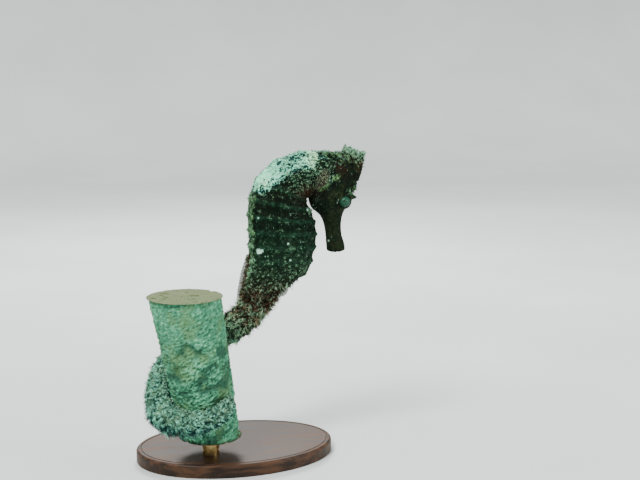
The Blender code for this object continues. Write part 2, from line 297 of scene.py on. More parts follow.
def dress(obj: Object, slot: Slot, finish: Material | None, *nodes: str) -> Object:
    """Gives a piece its finish and puts it on the model's one body.

    Args:
        obj: The piece.
        slot: The record's slot for it; not used.
        finish: Its material, or None where it has one.
        nodes: The CAD nodes that it replaces.

    Returns:
        The same object.
    """
    if finish:
        obj.data.materials.clear()
        obj.data.materials.append(finish)
    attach(obj, ROOT)
    if nodes:
        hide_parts(*nodes)
    log.info("%s: %d faces", obj.name, len(obj.data.polygons))
    return obj


# ---- node building


class Texture(NamedTuple):
    """One noise texture: its scale, detail and grain."""

    scale: float
    detail: float = 2.0
    grain: float = 0.5


class Tree:
    """A node tree under construction, with short calls for the nodes used here."""

    def __init__(self, tree: NodeTree) -> None:
        """Keeps the tree."""
        self.tree = tree

    def feed(self, node: Node, inputs: dict) -> None:
        """Links or sets a node's inputs: sockets or values by input name or number."""
        for key, value in inputs.items():
            if isinstance(value, Socket):
                self.tree.links.new(value, node.inputs[key])
            else:
                node.inputs[key].default_value = value

    def add(self, kind: str, inputs: dict | None = None, **settings: object) -> Node:
        """Adds a node of one kind, with inputs as for feed and the node's own settings."""
        node = self.tree.nodes.new(kind)
        for key, value in settings.items():
            setattr(node, key, value)
        self.feed(node, inputs or {})
        return node

    def math(self, operation: str, *values: object, clamp: bool = False) -> Socket:
        """A Math node's result."""
        node = self.add("ShaderNodeMath", dict(enumerate(values)), operation=operation, use_clamp=clamp)
        return node.outputs[0]

    def times(self, first: object, second: object, clamp: bool = False) -> Socket:
        """First times second, kept within 0 and 1 where clamp says so."""
        return self.math("MULTIPLY", first, second, clamp=clamp)

    def plus(self, first: object, second: object) -> Socket:
        """First plus second."""
        return self.math("ADD", first, second)

    def minus(self, first: object, second: object) -> Socket:
        """First less second."""
        return self.math("SUBTRACT", first, second)

    def highest(self, first: object, second: object) -> Socket:
        """The higher of the two."""
        return self.math("MAXIMUM", first, second)

    def vector(self, operation: str, *values: object) -> Socket:
        """A Vector Math node's resulting vector."""
        return self.add("ShaderNodeVectorMath", dict(enumerate(values)), operation=operation).outputs[0]

    def grown(self, vector: Socket, factor: object) -> Socket:
        """The vector times one factor."""
        return self.add("ShaderNodeVectorMath", {0: vector, "Scale": factor}, operation="SCALE").outputs[0]

    def stretched(self, vector: Socket, factors: Point) -> Socket:
        """The vector with each axis times its own factor."""
        return self.vector("MULTIPLY", vector, factors)

    def joined(self, **parts: object) -> Socket:
        """A vector from its X, Y and Z parts, 0 where none is given."""
        return self.add("ShaderNodeCombineXYZ", parts).outputs[0]

    def mix(self, share: object, first: object, second: object) -> Socket:
        """A colour between first and second."""
        return self.add("ShaderNodeMix", {0: share, 6: first, 7: second}, data_type="RGBA").outputs[2]

    def noise(self, place: Socket, texture: Texture) -> Socket:
        """Noise from 0 to 1."""
        inputs = {"Vector": place} | dict(zip(("Scale", "Detail", "Roughness"), texture))
        return self.add("ShaderNodeTexNoise", inputs).outputs[0]

    def cells(self, place: Socket, scale: float) -> Node:
        """A Voronoi node."""
        return self.add("ShaderNodeTexVoronoi", {"Vector": place, "Scale": scale})

    def ramp(self, value: Socket, low: float, high: float, start: float = 0, end: float = 1) -> Socket:
        """Value moved from low..high to start..end with soft ends."""
        inputs = {0: value, 1: low, 2: high, 3: start, 4: end}
        return self.add("ShaderNodeMapRange", inputs, interpolation_type="SMOOTHSTEP").outputs[0]

    def number(self, name: str) -> Socket:
        """A number stored on the mesh."""
        return self.add("ShaderNodeAttribute", attribute_name=name).outputs["Fac"]

    def place(self, name: str) -> Socket:
        """A vector stored on the mesh."""
        return self.add("ShaderNodeAttribute", attribute_name=name).outputs["Vector"]

    def own_place(self) -> Socket:
        """The piece's own coordinates, in metres."""
        return self.add("ShaderNodeTexCoord").outputs["Object"]

    def relief(self, height: Socket, strength: float, depth: float) -> Socket:
        """A bumped normal, its depth in millimetres."""
        inputs = {"Strength": strength, "Distance": depth * MM, "Height": height}
        return self.add("ShaderNodeBump", inputs).outputs[0]


def new_group(
    name: str, inputs: dict[str, str], outputs: dict[str, str], kind: str = "ShaderNodeTree"
) -> tuple[Tree, Node, Node]:
    """A node group with named sockets.

    Args:
        name: The group's name.
        inputs: Socket types, without their NodeSocket part, by name.
        outputs: The same for what it puts out.
        kind: The tree's type.

    Returns:
        The Tree, its input node and its output node.
    """
    group = bpy.data.node_groups.new(name, kind)
    for way, sockets in (("INPUT", inputs), ("OUTPUT", outputs)):
        for label, socket in sockets.items():
            group.interface.new_socket(label, in_out=way, socket_type="NodeSocket" + socket)
    tree = Tree(group)
    return tree, tree.add("NodeGroupInput"), tree.add("NodeGroupOutput")


# ---- the perch


@dataclass
class SpongeFinger:
    """The cut length of sponge that the tail grips. Its place and lean come from the solid's own box."""

    low_radius: float = 9.2
    high_radius: float = 11.0
    columns: int = 270
    side_rows: int = 175
    end_rows: int = 34
    skin_depth: float = 0.12
    wrinkle: float = 0.62
    rim_round: float = 0.35
    slant: float = 0.35
    skew: Point = (0.85, 0.85, 1.35)
    coarse_below: Pair = (41.0, 33.0)
    swelling: Point = (-15.9, -18.2, 32.6)
    lumps: Noise = Noise(0.15, 3.0, 2)
    folds: Noise = Noise(0.58, 11.0, 3)
    furrows: Noise = Noise(0.18, 41.0, 2, (1, 1, 1.3))
    grains: Noise = Noise(1.25, 5.0, 2, (0.9, 0.9, 1.15))
    swelling_edge: Noise = Noise(0.30, 61.0)
    moat_gaps: Noise = Noise(0.22, 71.0)
    canals: Noise = Noise(0.55, 21.0, 1, (1, 1, 0.05))
    fibres: Noise = Noise(1.1, 31.0)

    def __post_init__(self) -> None:
        """Reads the axis from the solid's box."""
        low, high = solid_box("perch_sponge")
        self.low, self.high = float(low[2]), float(high[2])
        self.y = float(low[1] + high[1]) / 2
        self.x_low, self.x_high = float(high[0]) - self.low_radius, float(low[0]) + self.high_radius

    def share(self, height: Array) -> Array:
        """How far up the finger a height is, from 0 to 1."""
        return (np.asarray(height, float) - self.low) / (self.high - self.low)

    def radius(self, height: Array) -> Array:
        """The finger's radius at a height, without its wrinkles."""
        return self.low_radius + (self.high_radius - self.low_radius) * self.share(height)

    def axis(self, height: Array) -> Array:
        """The finger's middle at each height."""
        x = self.x_low + (self.x_high - self.x_low) * self.share(height)
        return np.stack([x, np.full_like(height, self.y), height], axis=-1)

    def _swollen(self, flat: Array) -> Array:
        """How far the one swelling, with the moat round it, stands out at each point."""
        far = np.linalg.norm((flat - self.swelling) * (1, 1, 0.8), axis=1) + 1.2 * self.swelling_edge.at(flat)
        moat = bump(far, 4.6, 1.0) * smooth_step(self.moat_gaps.at(flat), -0.5, 0.1)
        return 0.5 * bump(far, 0, 2.6) - 0.8 * moat

    def _wrinkled(self, flat: Array) -> tuple[Array, Array]:
        """How far each point of the plain finger stands out, from about -1 to 1, and the painted shade in the
        lower zone's furrows, which also darkens that zone a little.
        """
        leaning = np.hstack([flat[:, :2], flat[:, 2:] - self.slant * flat[:, :1]])
        skewed = leaning * self.skew
        folds = 1 - 2 * np.abs(self.folds.at(skewed))
        low = smooth_step(flat[:, 2], *self.coarse_below)
        deep = np.minimum(0, self.furrows.at(skewed) + 0.15) * 1.5
        coarse = low * (0.40 * (folds - 0.3) + deep - 0.15) + self._swollen(flat)
        height = 0.20 * self.lumps.at(skewed) + 0.20 * (folds - 0.3) + 0.48 * self.grains.at(leaning) + coarse
        # painted shade: darker colour in the lower zone's furrows, and a little darker over the whole lower
        # zone
        return height, low * (1.2 * deep - 0.10)

    def build(self, finish: Material) -> Object:
        """Makes the finger: wrinkled, pimpled sides and two cut ends with canals in them."""
        angle = one_turn(self.columns)
        around = np.stack([np.cos(angle), np.sin(angle), np.zeros_like(angle)], axis=-1)
        sides = np.linspace(self.low, self.high, self.side_rows)[1:-1]
        inward = np.linspace(1.0, 0.04, self.end_rows)
        heights = np.concatenate([np.full(self.end_rows, self.low), sides, np.full(self.end_rows, self.high)])
        shares = np.concatenate([inward[::-1], np.ones(len(sides)), inward])
        spread = around * self.radius(heights)[:, None, None] * shares[:, None, None]
        base = self.axis(heights)[:, None] + spread
        cut = np.isin(heights, (self.low, self.high)).astype(float)[:, None]
        grid, flat = base.shape[:2], base.reshape(-1, 3)
        height, low_furrow_shade = (values.reshape(grid) for values in self._wrinkled(flat))
        rim = 1 - np.abs(2 * self.share(heights)[:, None] - 1) ** 30
        depth = self.skin_depth + self.wrinkle * (0.8 - height)
        depth = depth * (1 - cut) + (1 - rim) * self.rim_round * (1 - cut)
        points = base - around * depth[..., None]
        canals = smooth_step(self.canals.at(flat), 0.35, 0.6).reshape(grid)
        dip = cut * (0.55 * canals + 0.10 * self.fibres.at(flat).reshape(grid) + 0.12)
        points[..., 2] -= dip * np.where(heights > (self.low + self.high) / 2, 1.0, -1.0)[:, None]
        parts = MeshParts()
        parts.tube(points)
        obj = parts.object("sponge_finger")
        # height colours the sides: painted highlight on crests, painted shade in hollows and in the lower
        # zone's furrows
        store(obj.data, height=(height * 1.6 + low_furrow_shade).ravel(), cut=np.broadcast_to(cut, grid).ravel())
        return dress(obj, Slot.SPONGE, finish, "perch_sponge")


# ---- the body's shape


EDGES = 7
OUTLINE_COLUMNS = {"middle": slice(0, 3), "up": slice(3, 6), "side": slice(6, 9), "ahead": slice(9, 12)}
OUTLINE_COLUMNS |= {"half_depth": 12, "half_width": 13, "oval": 14, "tail": 15, "top_heavy": 16}


class Station(NamedTuple):
    """One outline across the body: see BodyPlan."""

    name: str
    back: Pair
    belly: Pair
    half_width: float
    oval: float
    tail: float = 0.0
    top_heavy: float = 0.0
    turn: float = 0.0


class TurnPoint(NamedTuple):
    """A place on the tail's turn round the perch: degrees round it, height, and the tail's half thickness."""

    degrees: float
    height: float
    half: float


@dataclass
class BodyPlan:
    """The outlines that the solids were lofted through, read as smooth functions of the way along the body.

    An outline is given by its back and belly points in the body's plane, its half width, how oval it is (1)
    or ridged (0), how far its ridges have become a tail's, how much wider it is above, and how far it has
    turned about its own length, in degrees. Edge numbers run round an outline from the keel (0) up the left
    side, over the back (3 to 4) and down the right side to 7.
    """

    perch: SpongeFinger
    plane: float = 6.0
    trunk_rings: int = 11
    tail_rings: int = 35
    tail_ring_shrink: float = 0.972
    coil_step: int = 10
    coil_clearance: float = 0.4
    tail_ridge: float = 0.30
    coil: tuple[TurnPoint, ...] = (
        *(TurnPoint(0, 32.5, 4.1), TurnPoint(30, 28.5, 3.9), TurnPoint(60, 23.1, 3.6)),
        *(TurnPoint(90, 19.3, 3.6), TurnPoint(120, 17.4, 3.5), TurnPoint(150, 17.1, 3.2)),
        *(TurnPoint(180, 18.4, 2.8), TurnPoint(205, 20.8, 2.1), TurnPoint(222, 23.2, 1.0)),
    )
    stations: tuple[Station, ...] = (
        Station("mouth", (36.4, 61.3), (30.8, 61.1), 2.4, 1),
        Station("snout_flare", (36.1, 63.2), (30.6, 63.2), 2.4, 1),
        Station("snout_waist", (35.3, 66.0), (30.3, 66.2), 2.2, 1),
        Station("snout_middle", (35.2, 69.5), (29.7, 69.3), 2.4, 1),
        Station("snout_root", (35.7, 72.2), (28.8, 71.6), 2.8, 1),
        Station("nose", (36.6, 74.2), (27.6, 73.0), 3.2, 1, 0, 0.10),
        Station("eye_level", (37.8, 76.5), (26.4, 74.3), 3.5, 1, 0, 0.16),
        Station("cheek", (39.0, 79.2), (25.4, 75.5), 3.9, 1, 0, 0.10),
        Station("gill_cover", (40.0, 82.3), (24.95, 76.4), 4.4, 1, 0, 0.02),
        Station("crown", (40.3, 85.8), (24.75, 76.95), 4.6, 1),
        Station("crown_rear", (38.4, 89.4), (24.6, 77.25), 4.3, 0.9),
        Station("nape", (35.2, 91.4), (24.5, 77.4), 4.1, 0.7),
        Station("neck_top", (31.5, 91.9), (24.3, 77.5), 4.2, 0.4),
        Station("neck_middle", (27.0, 92.2), (24.2, 77.6), 4.5, 0.25),
        Station("neck_bend", (22.0, 92.0), (24.0, 77.6), 5.0, 0.2),
        Station("withers", (16.5, 90.2), (23.9, 77.4), 5.3, 0.15),
        Station("shoulder", (11.5, 87.0), (23.9, 77.1), 5.6, 0.1),
        Station("shoulder_low", (8.2, 82.8), (24.1, 76.4), 5.9, 0.1),
        Station("chest", (6.6, 78.2), (25.45, 73.8), 6.1, 0.1),
        Station("chest_low", (6.0, 73.4), (26.6, 70.6), 6.3, 0.1),
        Station("trunk_middle", (6.1, 68.8), (27.4, 67.0), 6.4, 0.1),
        Station("belly_top", (6.2, 64.4), (27.4, 63.2), 6.4, 0.1),
        Station("belly", (6.0, 60.2), (26.5, 59.4), 6.3, 0.1),
        Station("belly_low", (5.3, 56.2), (25.2, 55.3), 6.0, 0.1),
        Station("flank", (4.5, 52.9), (21.3, 51.9), 5.6, 0.1, 0.15),
        Station("vent", (3.5, 49.9), (17.0, 49.0), 5.2, 0.1, 0.5),
        Station("tail_root", (2.3, 47.0), (13.9, 44.2), 5.0, 0.1, 0.8, 0, 12),
        Station("tail_bend", (0.4, 44.4), (10.2, 39.6), 4.8, 0.1, 1, 0, 28),
        Station("tail_free", (-2.6, 42.0), (5.6, 36.0), 4.6, 0.1, 1, 0, 46),
        Station("tail_near_perch", (-6.4, 39.8), (0.0, 32.9), 4.4, 0.1, 1, 0, 66),
    )
    trunk_corners: Pairs = ((0, -1), (0.77, -0.60), (1.03, 0.14), (0.58, 1))
    tail_corners: Pairs = ((0, -0.92), (0.78, -0.86), (0.95, 0), (0.78, 0.86))
    corner_angles: tuple[float, ...] = (-180, -128, -82, -30, 30, 82, 128, 180)

    def __post_init__(self) -> None:
        """Works out the table that every outline is read from."""
        back = np.array([(s.back[0], self.plane, s.back[1]) for s in self.stations])
        belly = np.array([(s.belly[0], self.plane, s.belly[1]) for s in self.stations])
        turn_middle, turn_out, turn_half = self._turn_round_perch()
        middle = np.vstack([(back + belly) / 2, turn_middle])
        self.way = np.concatenate([[0], np.cumsum(np.linalg.norm(np.diff(middle, axis=0), axis=1))])
        ahead = unit(np.gradient(middle, self.way, axis=0))
        turned = np.radians([[s.turn] for s in self.stations])
        in_plane = unit(back - belly) * np.cos(turned) + ACROSS * np.sin(turned)
        up = np.vstack([in_plane, turn_out])
        half_depth = np.append(np.linalg.norm(back - belly, axis=1) / 2, turn_half)
        half_width = np.append([s.half_width for s in self.stations], turn_half)
        shape = [(s.oval, s.tail, s.top_heavy) for s in self.stations] + [(0.1, 1, 0)] * len(turn_half)
        side = unit(np.cross(ahead, up))
        self.table = np.hstack([middle, up, side, ahead, half_depth[:, None], half_width[:, None], shape])
        self.end = self.way[-1]
        trunk = np.linspace(self.at("nape"), self.at("vent"), self.trunk_rings + 1)
        steps = self.tail_ring_shrink ** np.arange(self.tail_rings)
        tail = trunk[-1] + np.cumsum(steps) / steps.sum() * (self.end - trunk[-1])
        self.ring_ends = np.concatenate([trunk, tail])

    def _turn_round_perch(self) -> tuple[Array, Array, Array]:
        """The tail's turn, from behind the finger to the tip: middles, outward directions and half sizes."""
        turn, height, thickness = (np.array(column, float) for column in zip(*self.coil))
        degrees = np.append(np.arange(turn[0], turn[-1], self.coil_step), turn[-1])
        heights, half = bend_through(turn, height, degrees), bend_through(turn, thickness, degrees)
        angle = np.radians(degrees)
        outward = np.stack([-np.sin(angle), np.cos(angle), np.zeros_like(angle)], axis=-1)
        reach = self.perch.radius(heights) + self.coil_clearance + half + self.tail_ridge * half / half[0]
        return self.perch.axis(heights) + outward * reach[:, None], outward, half

    def at(self, name: str) -> float:
        """How far along the body a station, or the tip, stands."""
        return float(self.end if name == "tip" else self.way[[s.name for s in self.stations].index(name)])

    def levels(self, along: Array, levels: Levels) -> Array:
        """Levels given at stations, read in straight lines between them."""
        return np.interp(along, [self.at(name) for name, _ in levels], [level for _, level in levels])

    def past(self, along: Array, first: str, last: str, early: float = 0.0, late: float = 0.0) -> Array:
        """0 before the first station, moved by early, and 1 after the last, moved by late."""
        return smooth_step(along, self.at(first) + early, self.at(last) + late)

    def around(self, along: Array, name: str, width: float, shift: float = 0.0) -> Array:
        """A bell of height 1 round a station, moved by shift."""
        return bump(along, self.at(name) + shift, width)

    def read(self, along: Array) -> dict[str, Array]:
        """Reads the outlines.

        Args:
            along: Places along the body.

        Returns:
            Each outline's middle, directions and sizes, by the names of OUTLINE_COLUMNS.
        """
        rows = bend_through(self.way, self.table, np.clip(along, 0, self.end))
        facts = {name: rows[:, columns] for name, columns in OUTLINE_COLUMNS.items()}
        up = facts["up"] = unit(facts["up"])
        facts["side"] = unit(facts["side"] - (facts["side"] * up).sum(1, keepdims=True) * up)
        facts["ahead"] = unit(facts["ahead"])
        return facts

    def ahead(self, along: float) -> Array:
        """The body's direction at one place, towards the tail."""
        return self.read(np.array([along]))["ahead"][0]

    def section(self, facts: dict[str, Array], edge: Array) -> Array:
        """The outlines' own shape.

        Args:
            facts: What read gave.
            edge: Edge numbers round each outline.

        Returns:
            Side and up shares, shape (rows, columns, 2).
        """
        tail = facts["tail"][:, None, None]
        left = (1 - tail) * np.array(self.trunk_corners) + tail * np.array(self.tail_corners)
        corners = np.concatenate([left, left[:, ::-1] * (-1, 1)], axis=1)
        low = np.minimum(edge.astype(int), EDGES - 1)
        share = (edge - low)[None, :, None]
        ridged = corners[:, low] * (1 - share) + corners[:, low + 1] * share
        angle = np.radians(np.interp(edge, range(EDGES + 1), self.corner_angles))
        rounded = np.stack([-np.sin(angle), np.cos(angle)], axis=-1)[None]
        oval = facts["oval"][:, None, None]
        flat = (1 - oval) * ridged + oval * rounded
        flat[..., 0] *= 1 + facts["top_heavy"][:, None] * flat[..., 1]
        return flat

    def surface(self, along: Array, edge: Array, inset: Array) -> Array:
        """Points on the body's outside.

        Args:
            along: Places along the body.
            edge: Edge numbers round each outline.
            inset: How far inside the outline, shape (rows, columns).

        Returns:
            Points of shape (rows, columns, 3).
        """
        facts = self.read(along)
        flat = self.section(facts, edge)
        sideways = flat[..., 0] * (facts["half_width"][:, None] - inset)
        upward = flat[..., 1] * (facts["half_depth"][:, None] - inset)
        return (
            facts["middle"][:, None]
            + facts["side"][:, None] * sideways[..., None]
            + facts["up"][:, None] * upward[..., None]
        )

    def rings(self, along: Array) -> tuple[Array, Array, Array]:
        """Reads the rings of plates.

        Args:
            along: Places along the body.

        Returns:
            Nearness to a ring's middle, where rings exist at all, and the place within the ring.
        """
        phase = np.interp(along, self.ring_ends, np.arange(len(self.ring_ends))) % 1.0
        ringed = self.past(along, "nape", "nape", -1.0, 6.0)
        return bump(phase, 0.5, 0.15) * ringed, ringed, phase


# ---- finishes


class Finish:
    """A material's recipe: its name, and what its Principled BSDF is fed with."""

    name: str

    def looks(self, tree: Tree) -> dict:
        """Builds the material's nodes.

        Args:
            tree: The material's tree.

        Returns:
            Sockets or values by the shader's input name.
        """
        return {}

    def build(self) -> Material:
        """Makes the material."""
        material = bpy.data.materials.new(self.name)
        material.use_nodes = True
        tree = Tree(material.node_tree)
        tree.feed(material.node_tree.nodes["Principled BSDF"], self.looks(tree))
        return material


MARKING_MASKS = ("Saddle", "Frost", "Rust", "Lichen", "Spots", "Crest", "Cool")


@dataclass(frozen=True)
class Pigment:
    """The animal's colours, as scene-linear red, green and blue."""

    black: Colour = (0.0014, 0.0050, 0.0027, 1)
    brown: Colour = (0.0048, 0.0080, 0.0040, 1)
    moss: Colour = (0.015, 0.066, 0.034, 1)
    teal: Colour = (0.011, 0.052, 0.050, 1)
    mint: Colour = (0.34, 1.0, 0.69, 1)
    cream: Colour = (0.74, 1.0, 0.50, 1)
    dusky: Colour = (0.40, 0.27, 0.16, 1)
    frost: Colour = (0.155, 0.30, 0.175, 1)
    white: Colour = (0.60, 0.98, 0.76, 1)
    rust: Colour = (0.060, 0.016, 0.010, 1)
    lichen: Colour = (0.13, 0.28, 0.10, 1)
    umber: Colour = (0.024, 0.037, 0.0145, 1)


class Dots(NamedTuple):
    """Round dots: how many a millimetre, which share of cells has none, and their size."""

    scale: float
    rare: float
    size: float


class Markings:
    """The pattern that skin and coat share, on the straightened body's own coordinates."""

    cloud_texture = Texture(0.22, 4, 0.6)
    fine_texture = Texture(2.2, 4, 0.7)
    mottle_texture = Texture(0.95, 4, 0.72)
    gap_texture = Texture(0.40, 2)
    streak_texture = Texture(1.0, 3, 0.6)
    streak_stretch = (2.3, 0.42, 0.42)
    pits = Dots(1.55, 0.45, 0.46)
    specks = Dots(1.75, 0.86, 0.22)
    spots = Dots(0.42, 0.95, 0.15)

    def __init__(self) -> None:
        """Starts the node group: Straight and the masks in, Color and Pale out."""
        self.pigment = Pigment()
        sockets = {"Straight": "Vector"} | {mask: "Float" for mask in MARKING_MASKS}
        out = {"Color": "Color", "Pale": "Float"}
        self.tree, given, self.result = new_group("seahorse_markings", sockets, out)
        self.masks, self.straight = given.outputs, given.outputs["Straight"]
        self.cloud = self.tree.noise(self.straight, self.cloud_texture)
        self.fine = self.tree.noise(self.straight, self.fine_texture)
        self.mottle = self.tree.noise(self.straight, self.mottle_texture)
        self.busy = self.tree.ramp(self.masks["Frost"], -0.20, 0.0)

    def _dotted(self, dots: Dots) -> Socket:
        """1 inside dots of this kind."""
        tree = self.tree
        cells = tree.cells(self.straight, dots.scale)
        chance = tree.add("ShaderNodeSeparateColor", {0: cells.outputs["Color"]})
        reach = tree.ramp(chance.outputs[0], dots.rare, 1.0, 0.0, dots.size)
        return tree.ramp(tree.minus(reach, cells.outputs["Distance"]), 0.0, 0.04)

    def _ground(self) -> Socket:
        """The dark ground colour: clouds and moss, mossy ring crests (partly the skin's own bands, partly
        painted highlight on the ridges), umber calm places, frosty streaks.
        """
        tree, masks, pigment = self.tree, self.masks, self.pigment
        base = tree.mix(tree.ramp(self.cloud, 0.42, 0.70), pigment.black, pigment.brown)
        base = tree.mix(tree.times(tree.ramp(self.fine, 0.50, 0.72), 0.5), base, pigment.moss)
        # moss on the ring crests: partly the skin's own green bands, partly painted highlight on the ridges
        banded = tree.times(masks["Crest"], tree.ramp(self.mottle, 0.42, 0.62, 0.15, 1.0))
        base = tree.mix(tree.times(banded, 0.8), base, pigment.moss)
        still = tree.ramp(masks["Frost"], -0.40, -0.10, 1, 0)
        calm = tree.times(still, tree.ramp(self.mottle, 0.42, 0.58, 0.1, 1.0))
        base = tree.mix(calm, base, pigment.umber)
        streak = tree.noise(tree.stretched(self.straight, self.streak_stretch), self.streak_texture)
        gap = tree.ramp(tree.noise(self.straight, self.gap_texture), 0.48, 0.60)
        lines = tree.times(tree.ramp(streak, 0.58, 0.66), tree.times(gap, self.busy))
        return tree.mix(tree.times(lines, 0.45), base, pigment.frost)

    def _tinted(self, base: Socket) -> Socket:
        """The ground with its rust, lichen and teal."""
        tree, masks, pigment = self.tree, self.masks, self.pigment
        rust = tree.times(masks["Rust"], tree.ramp(self.mottle, 0.40, 0.54))
        base = tree.mix(rust, base, pigment.rust)
        lichen = tree.times(masks["Lichen"], tree.ramp(self.mottle, 0.46, 0.58))
        base = tree.mix(lichen, base, pigment.lichen)
        return tree.mix(tree.times(masks["Cool"], 0.7), base, pigment.teal)

    def _saddle(self) -> tuple[Socket, Socket]:
        """The pale saddle's ragged, pitted mask, and its colour, from mint to cream."""
        tree, masks = self.tree, self.masks
        grit = tree.times(tree.minus(self.fine, 0.5), 3.0)
        waves = tree.times(tree.minus(self.mottle, 0.5), 2.0)
        drift = tree.times(tree.minus(self.cloud, 0.5), 1.5)
        ragged = tree.plus(tree.plus(masks["Saddle"], drift), tree.plus(grit, waves))
        whole = tree.times(tree.ramp(ragged, 0.98, 1.02), tree.ramp(masks["Saddle"], 0.02, 0.25))
        pitted = tree.times(self._dotted(self.pits), 0.85)
        creamy = tree.times(masks["Lichen"], 0.8, clamp=True)
        colour = tree.mix(creamy, self.pigment.mint, self.pigment.cream)
        return tree.times(whole, tree.minus(1.0, pitted)), colour

    def _chalk(self) -> Socket:
        """1 on the pale flecks, which frost makes more of."""
        tree = self.tree
        flecks = tree.plus(tree.times(self.mottle, 0.5), tree.times(self.fine, 0.5))
        return tree.ramp(tree.plus(flecks, tree.times(self.masks["Frost"], 0.16)), 0.605, 0.630)

    def _white(self) -> Socket:
        """1 on white spots, less on the small specks and dots."""
        tree = self.tree
        speck = tree.times(self._dotted(self.specks), self.busy)
        faint = tree.highest(tree.times(speck, 0.50), tree.times(self._dotted(self.spots), 0.6))
        return tree.highest(faint, self.masks["Spots"])

    def build(self) -> NodeTree:
        """Finishes the node group."""
        tree, pigment = self.tree, self.pigment
        saddle, saddle_colour = self._saddle()
        base = tree.mix(saddle, self._tinted(self._ground()), saddle_colour)
        chalk, white = self._chalk(), self._white()
        base = tree.mix(tree.times(chalk, 0.9), base, pigment.frost)
        base = tree.mix(white, base, pigment.white)
        pale = tree.highest(tree.highest(saddle, chalk), white)
        tree.feed(self.result, {"Color": base, "Pale": pale})
        return tree.tree


@dataclass(frozen=True)
class GrainGroup:
    """Fine unevenness that several finishes share."""

    soft: Texture = Texture(1.0, 5, 0.62)
    pit_scale: float = 1.3

    def build(self) -> NodeTree:
        """Makes the node group: Place and Scale in, Height out."""
        sockets = {"Place": "Vector", "Scale": "Float"}
        tree, given, result = new_group("fine_grain", sockets, {"Height": "Float"})
        place = tree.grown(given.outputs["Place"], given.outputs["Scale"])
        pits = tree.ramp(tree.cells(place, self.pit_scale).outputs["Distance"], 0.0, 0.45)
        height = tree.plus(tree.times(tree.noise(place, self.soft), 0.7), tree.times(pits, 0.3))
        tree.feed(result, {"Height": height})
        return tree.tree


def marked(tree: Tree, markings: NodeTree) -> Node:
    """The markings group, fed with the piece's attributes."""
    inputs = {"Straight": tree.place("straight")}
    inputs |= {mask: tree.number(mask.lower()) for mask in MARKING_MASKS}
    return tree.add("ShaderNodeGroup", inputs, node_tree=markings)


@dataclass(frozen=True)
class SkinFinish(Finish):
    """The skin's finish: its markings, with grain at the scale of its warts."""

    name = "seahorse_skin"
    markings: NodeTree
    grain: NodeTree
    grain_scale: float = 3.2

    def looks(self, tree: Tree) -> dict:
        """The markings over the grain."""
        inputs = {"Place": tree.place("straight"), "Scale": self.grain_scale}
        height = tree.add("ShaderNodeGroup", inputs, node_tree=self.grain).outputs["Height"]
        return {
            "Base Color": marked(tree, self.markings).outputs["Color"],
            "Normal": tree.relief(height, 0.85, 0.12),
            "Roughness": tree.ramp(height, 0.3, 0.7, 0.55, 0.80),
            "Specular IOR Level": 0.05,
        }


@dataclass(frozen=True)
class CoatFinish(Finish):
    """A coat's finish: the skin's markings, with tips that take tip_colour, by tip_gain, or turn dusky."""

    markings: NodeTree
    name: str
    tip_gain: float
    tip_colour: Colour
    clumps: Texture = Texture(0.42, 2)
    patches: Texture = Texture(0.5, 3)

    def looks(self, tree: Tree) -> dict:
        """Markings and tips; it reads tip, shade, frost and rust."""
        group = marked(tree, self.markings)
        chosen = tree.ramp(tree.number("shade"), 0.42, 0.66)
        frost = tree.highest(tree.number("frost"), group.outputs["Pale"])
        clumps = tree.ramp(tree.noise(tree.place("straight"), self.clumps), 0.40, 0.58, 0.35, 1.35)
        share = tree.times(tree.times(tree.number("tip"), chosen), tree.times(clumps, self.tip_gain))
        share = tree.times(share, tree.plus(frost, 0.08), clamp=True)
        patches = tree.ramp(tree.noise(tree.place("straight"), self.patches), 0.46, 0.56, 0.1, 1.0)
        warmth = tree.times(tree.ramp(tree.number("rust"), 0.25, 0.60), patches)
        tips = tree.mix(warmth, self.tip_colour, Pigment().dusky)
        colour = tree.mix(share, group.outputs["Color"], tips)
        return {"Base Color": colour, "Roughness": 0.65, "Specular IOR Level": 0.05}


@dataclass(frozen=True)
class FinFinish(Finish):
    """Thin, slightly see-through membrane on darker rays."""

    name = "seahorse_fin"
    membrane: Colour = (0.028, 0.030, 0.020, 1)
    blotch: Colour = (0.075, 0.024, 0.015, 1)
    bone: Colour = (0.015, 0.011, 0.007, 1)
    fleck: Colour = (0.26, 0.34, 0.19, 1)
    blotch_texture: Texture = Texture(0.9, 4, 0.7)
    fleck_texture: Texture = Texture(1.9, 3, 0.7)

    def looks(self, tree: Tree) -> dict:
        """It reads ray (1 on a ray), rise (1 at the free edge) and warm."""
        ray, rise, place = tree.number("ray"), tree.number("rise"), tree.place("straight")
        blotched = tree.ramp(tree.noise(place, self.blotch_texture), 0.36, 0.58)
        colour = tree.mix(tree.times(blotched, tree.number("warm")), self.membrane, self.blotch)
        colour = tree.mix(tree.times(ray, 0.7), colour, self.bone)
        flecked = tree.ramp(tree.noise(place, self.fleck_texture), 0.52, 0.60)
        return {
            "Base Color": tree.mix(tree.times(flecked, 0.8), colour, self.fleck),
            "Alpha": tree.plus(tree.times(ray, 0.2), tree.ramp(rise, 0.2, 1.0, 0.90, 0.50)),
            "Roughness": 0.55,
            "Specular IOR Level": 0.08,
        }


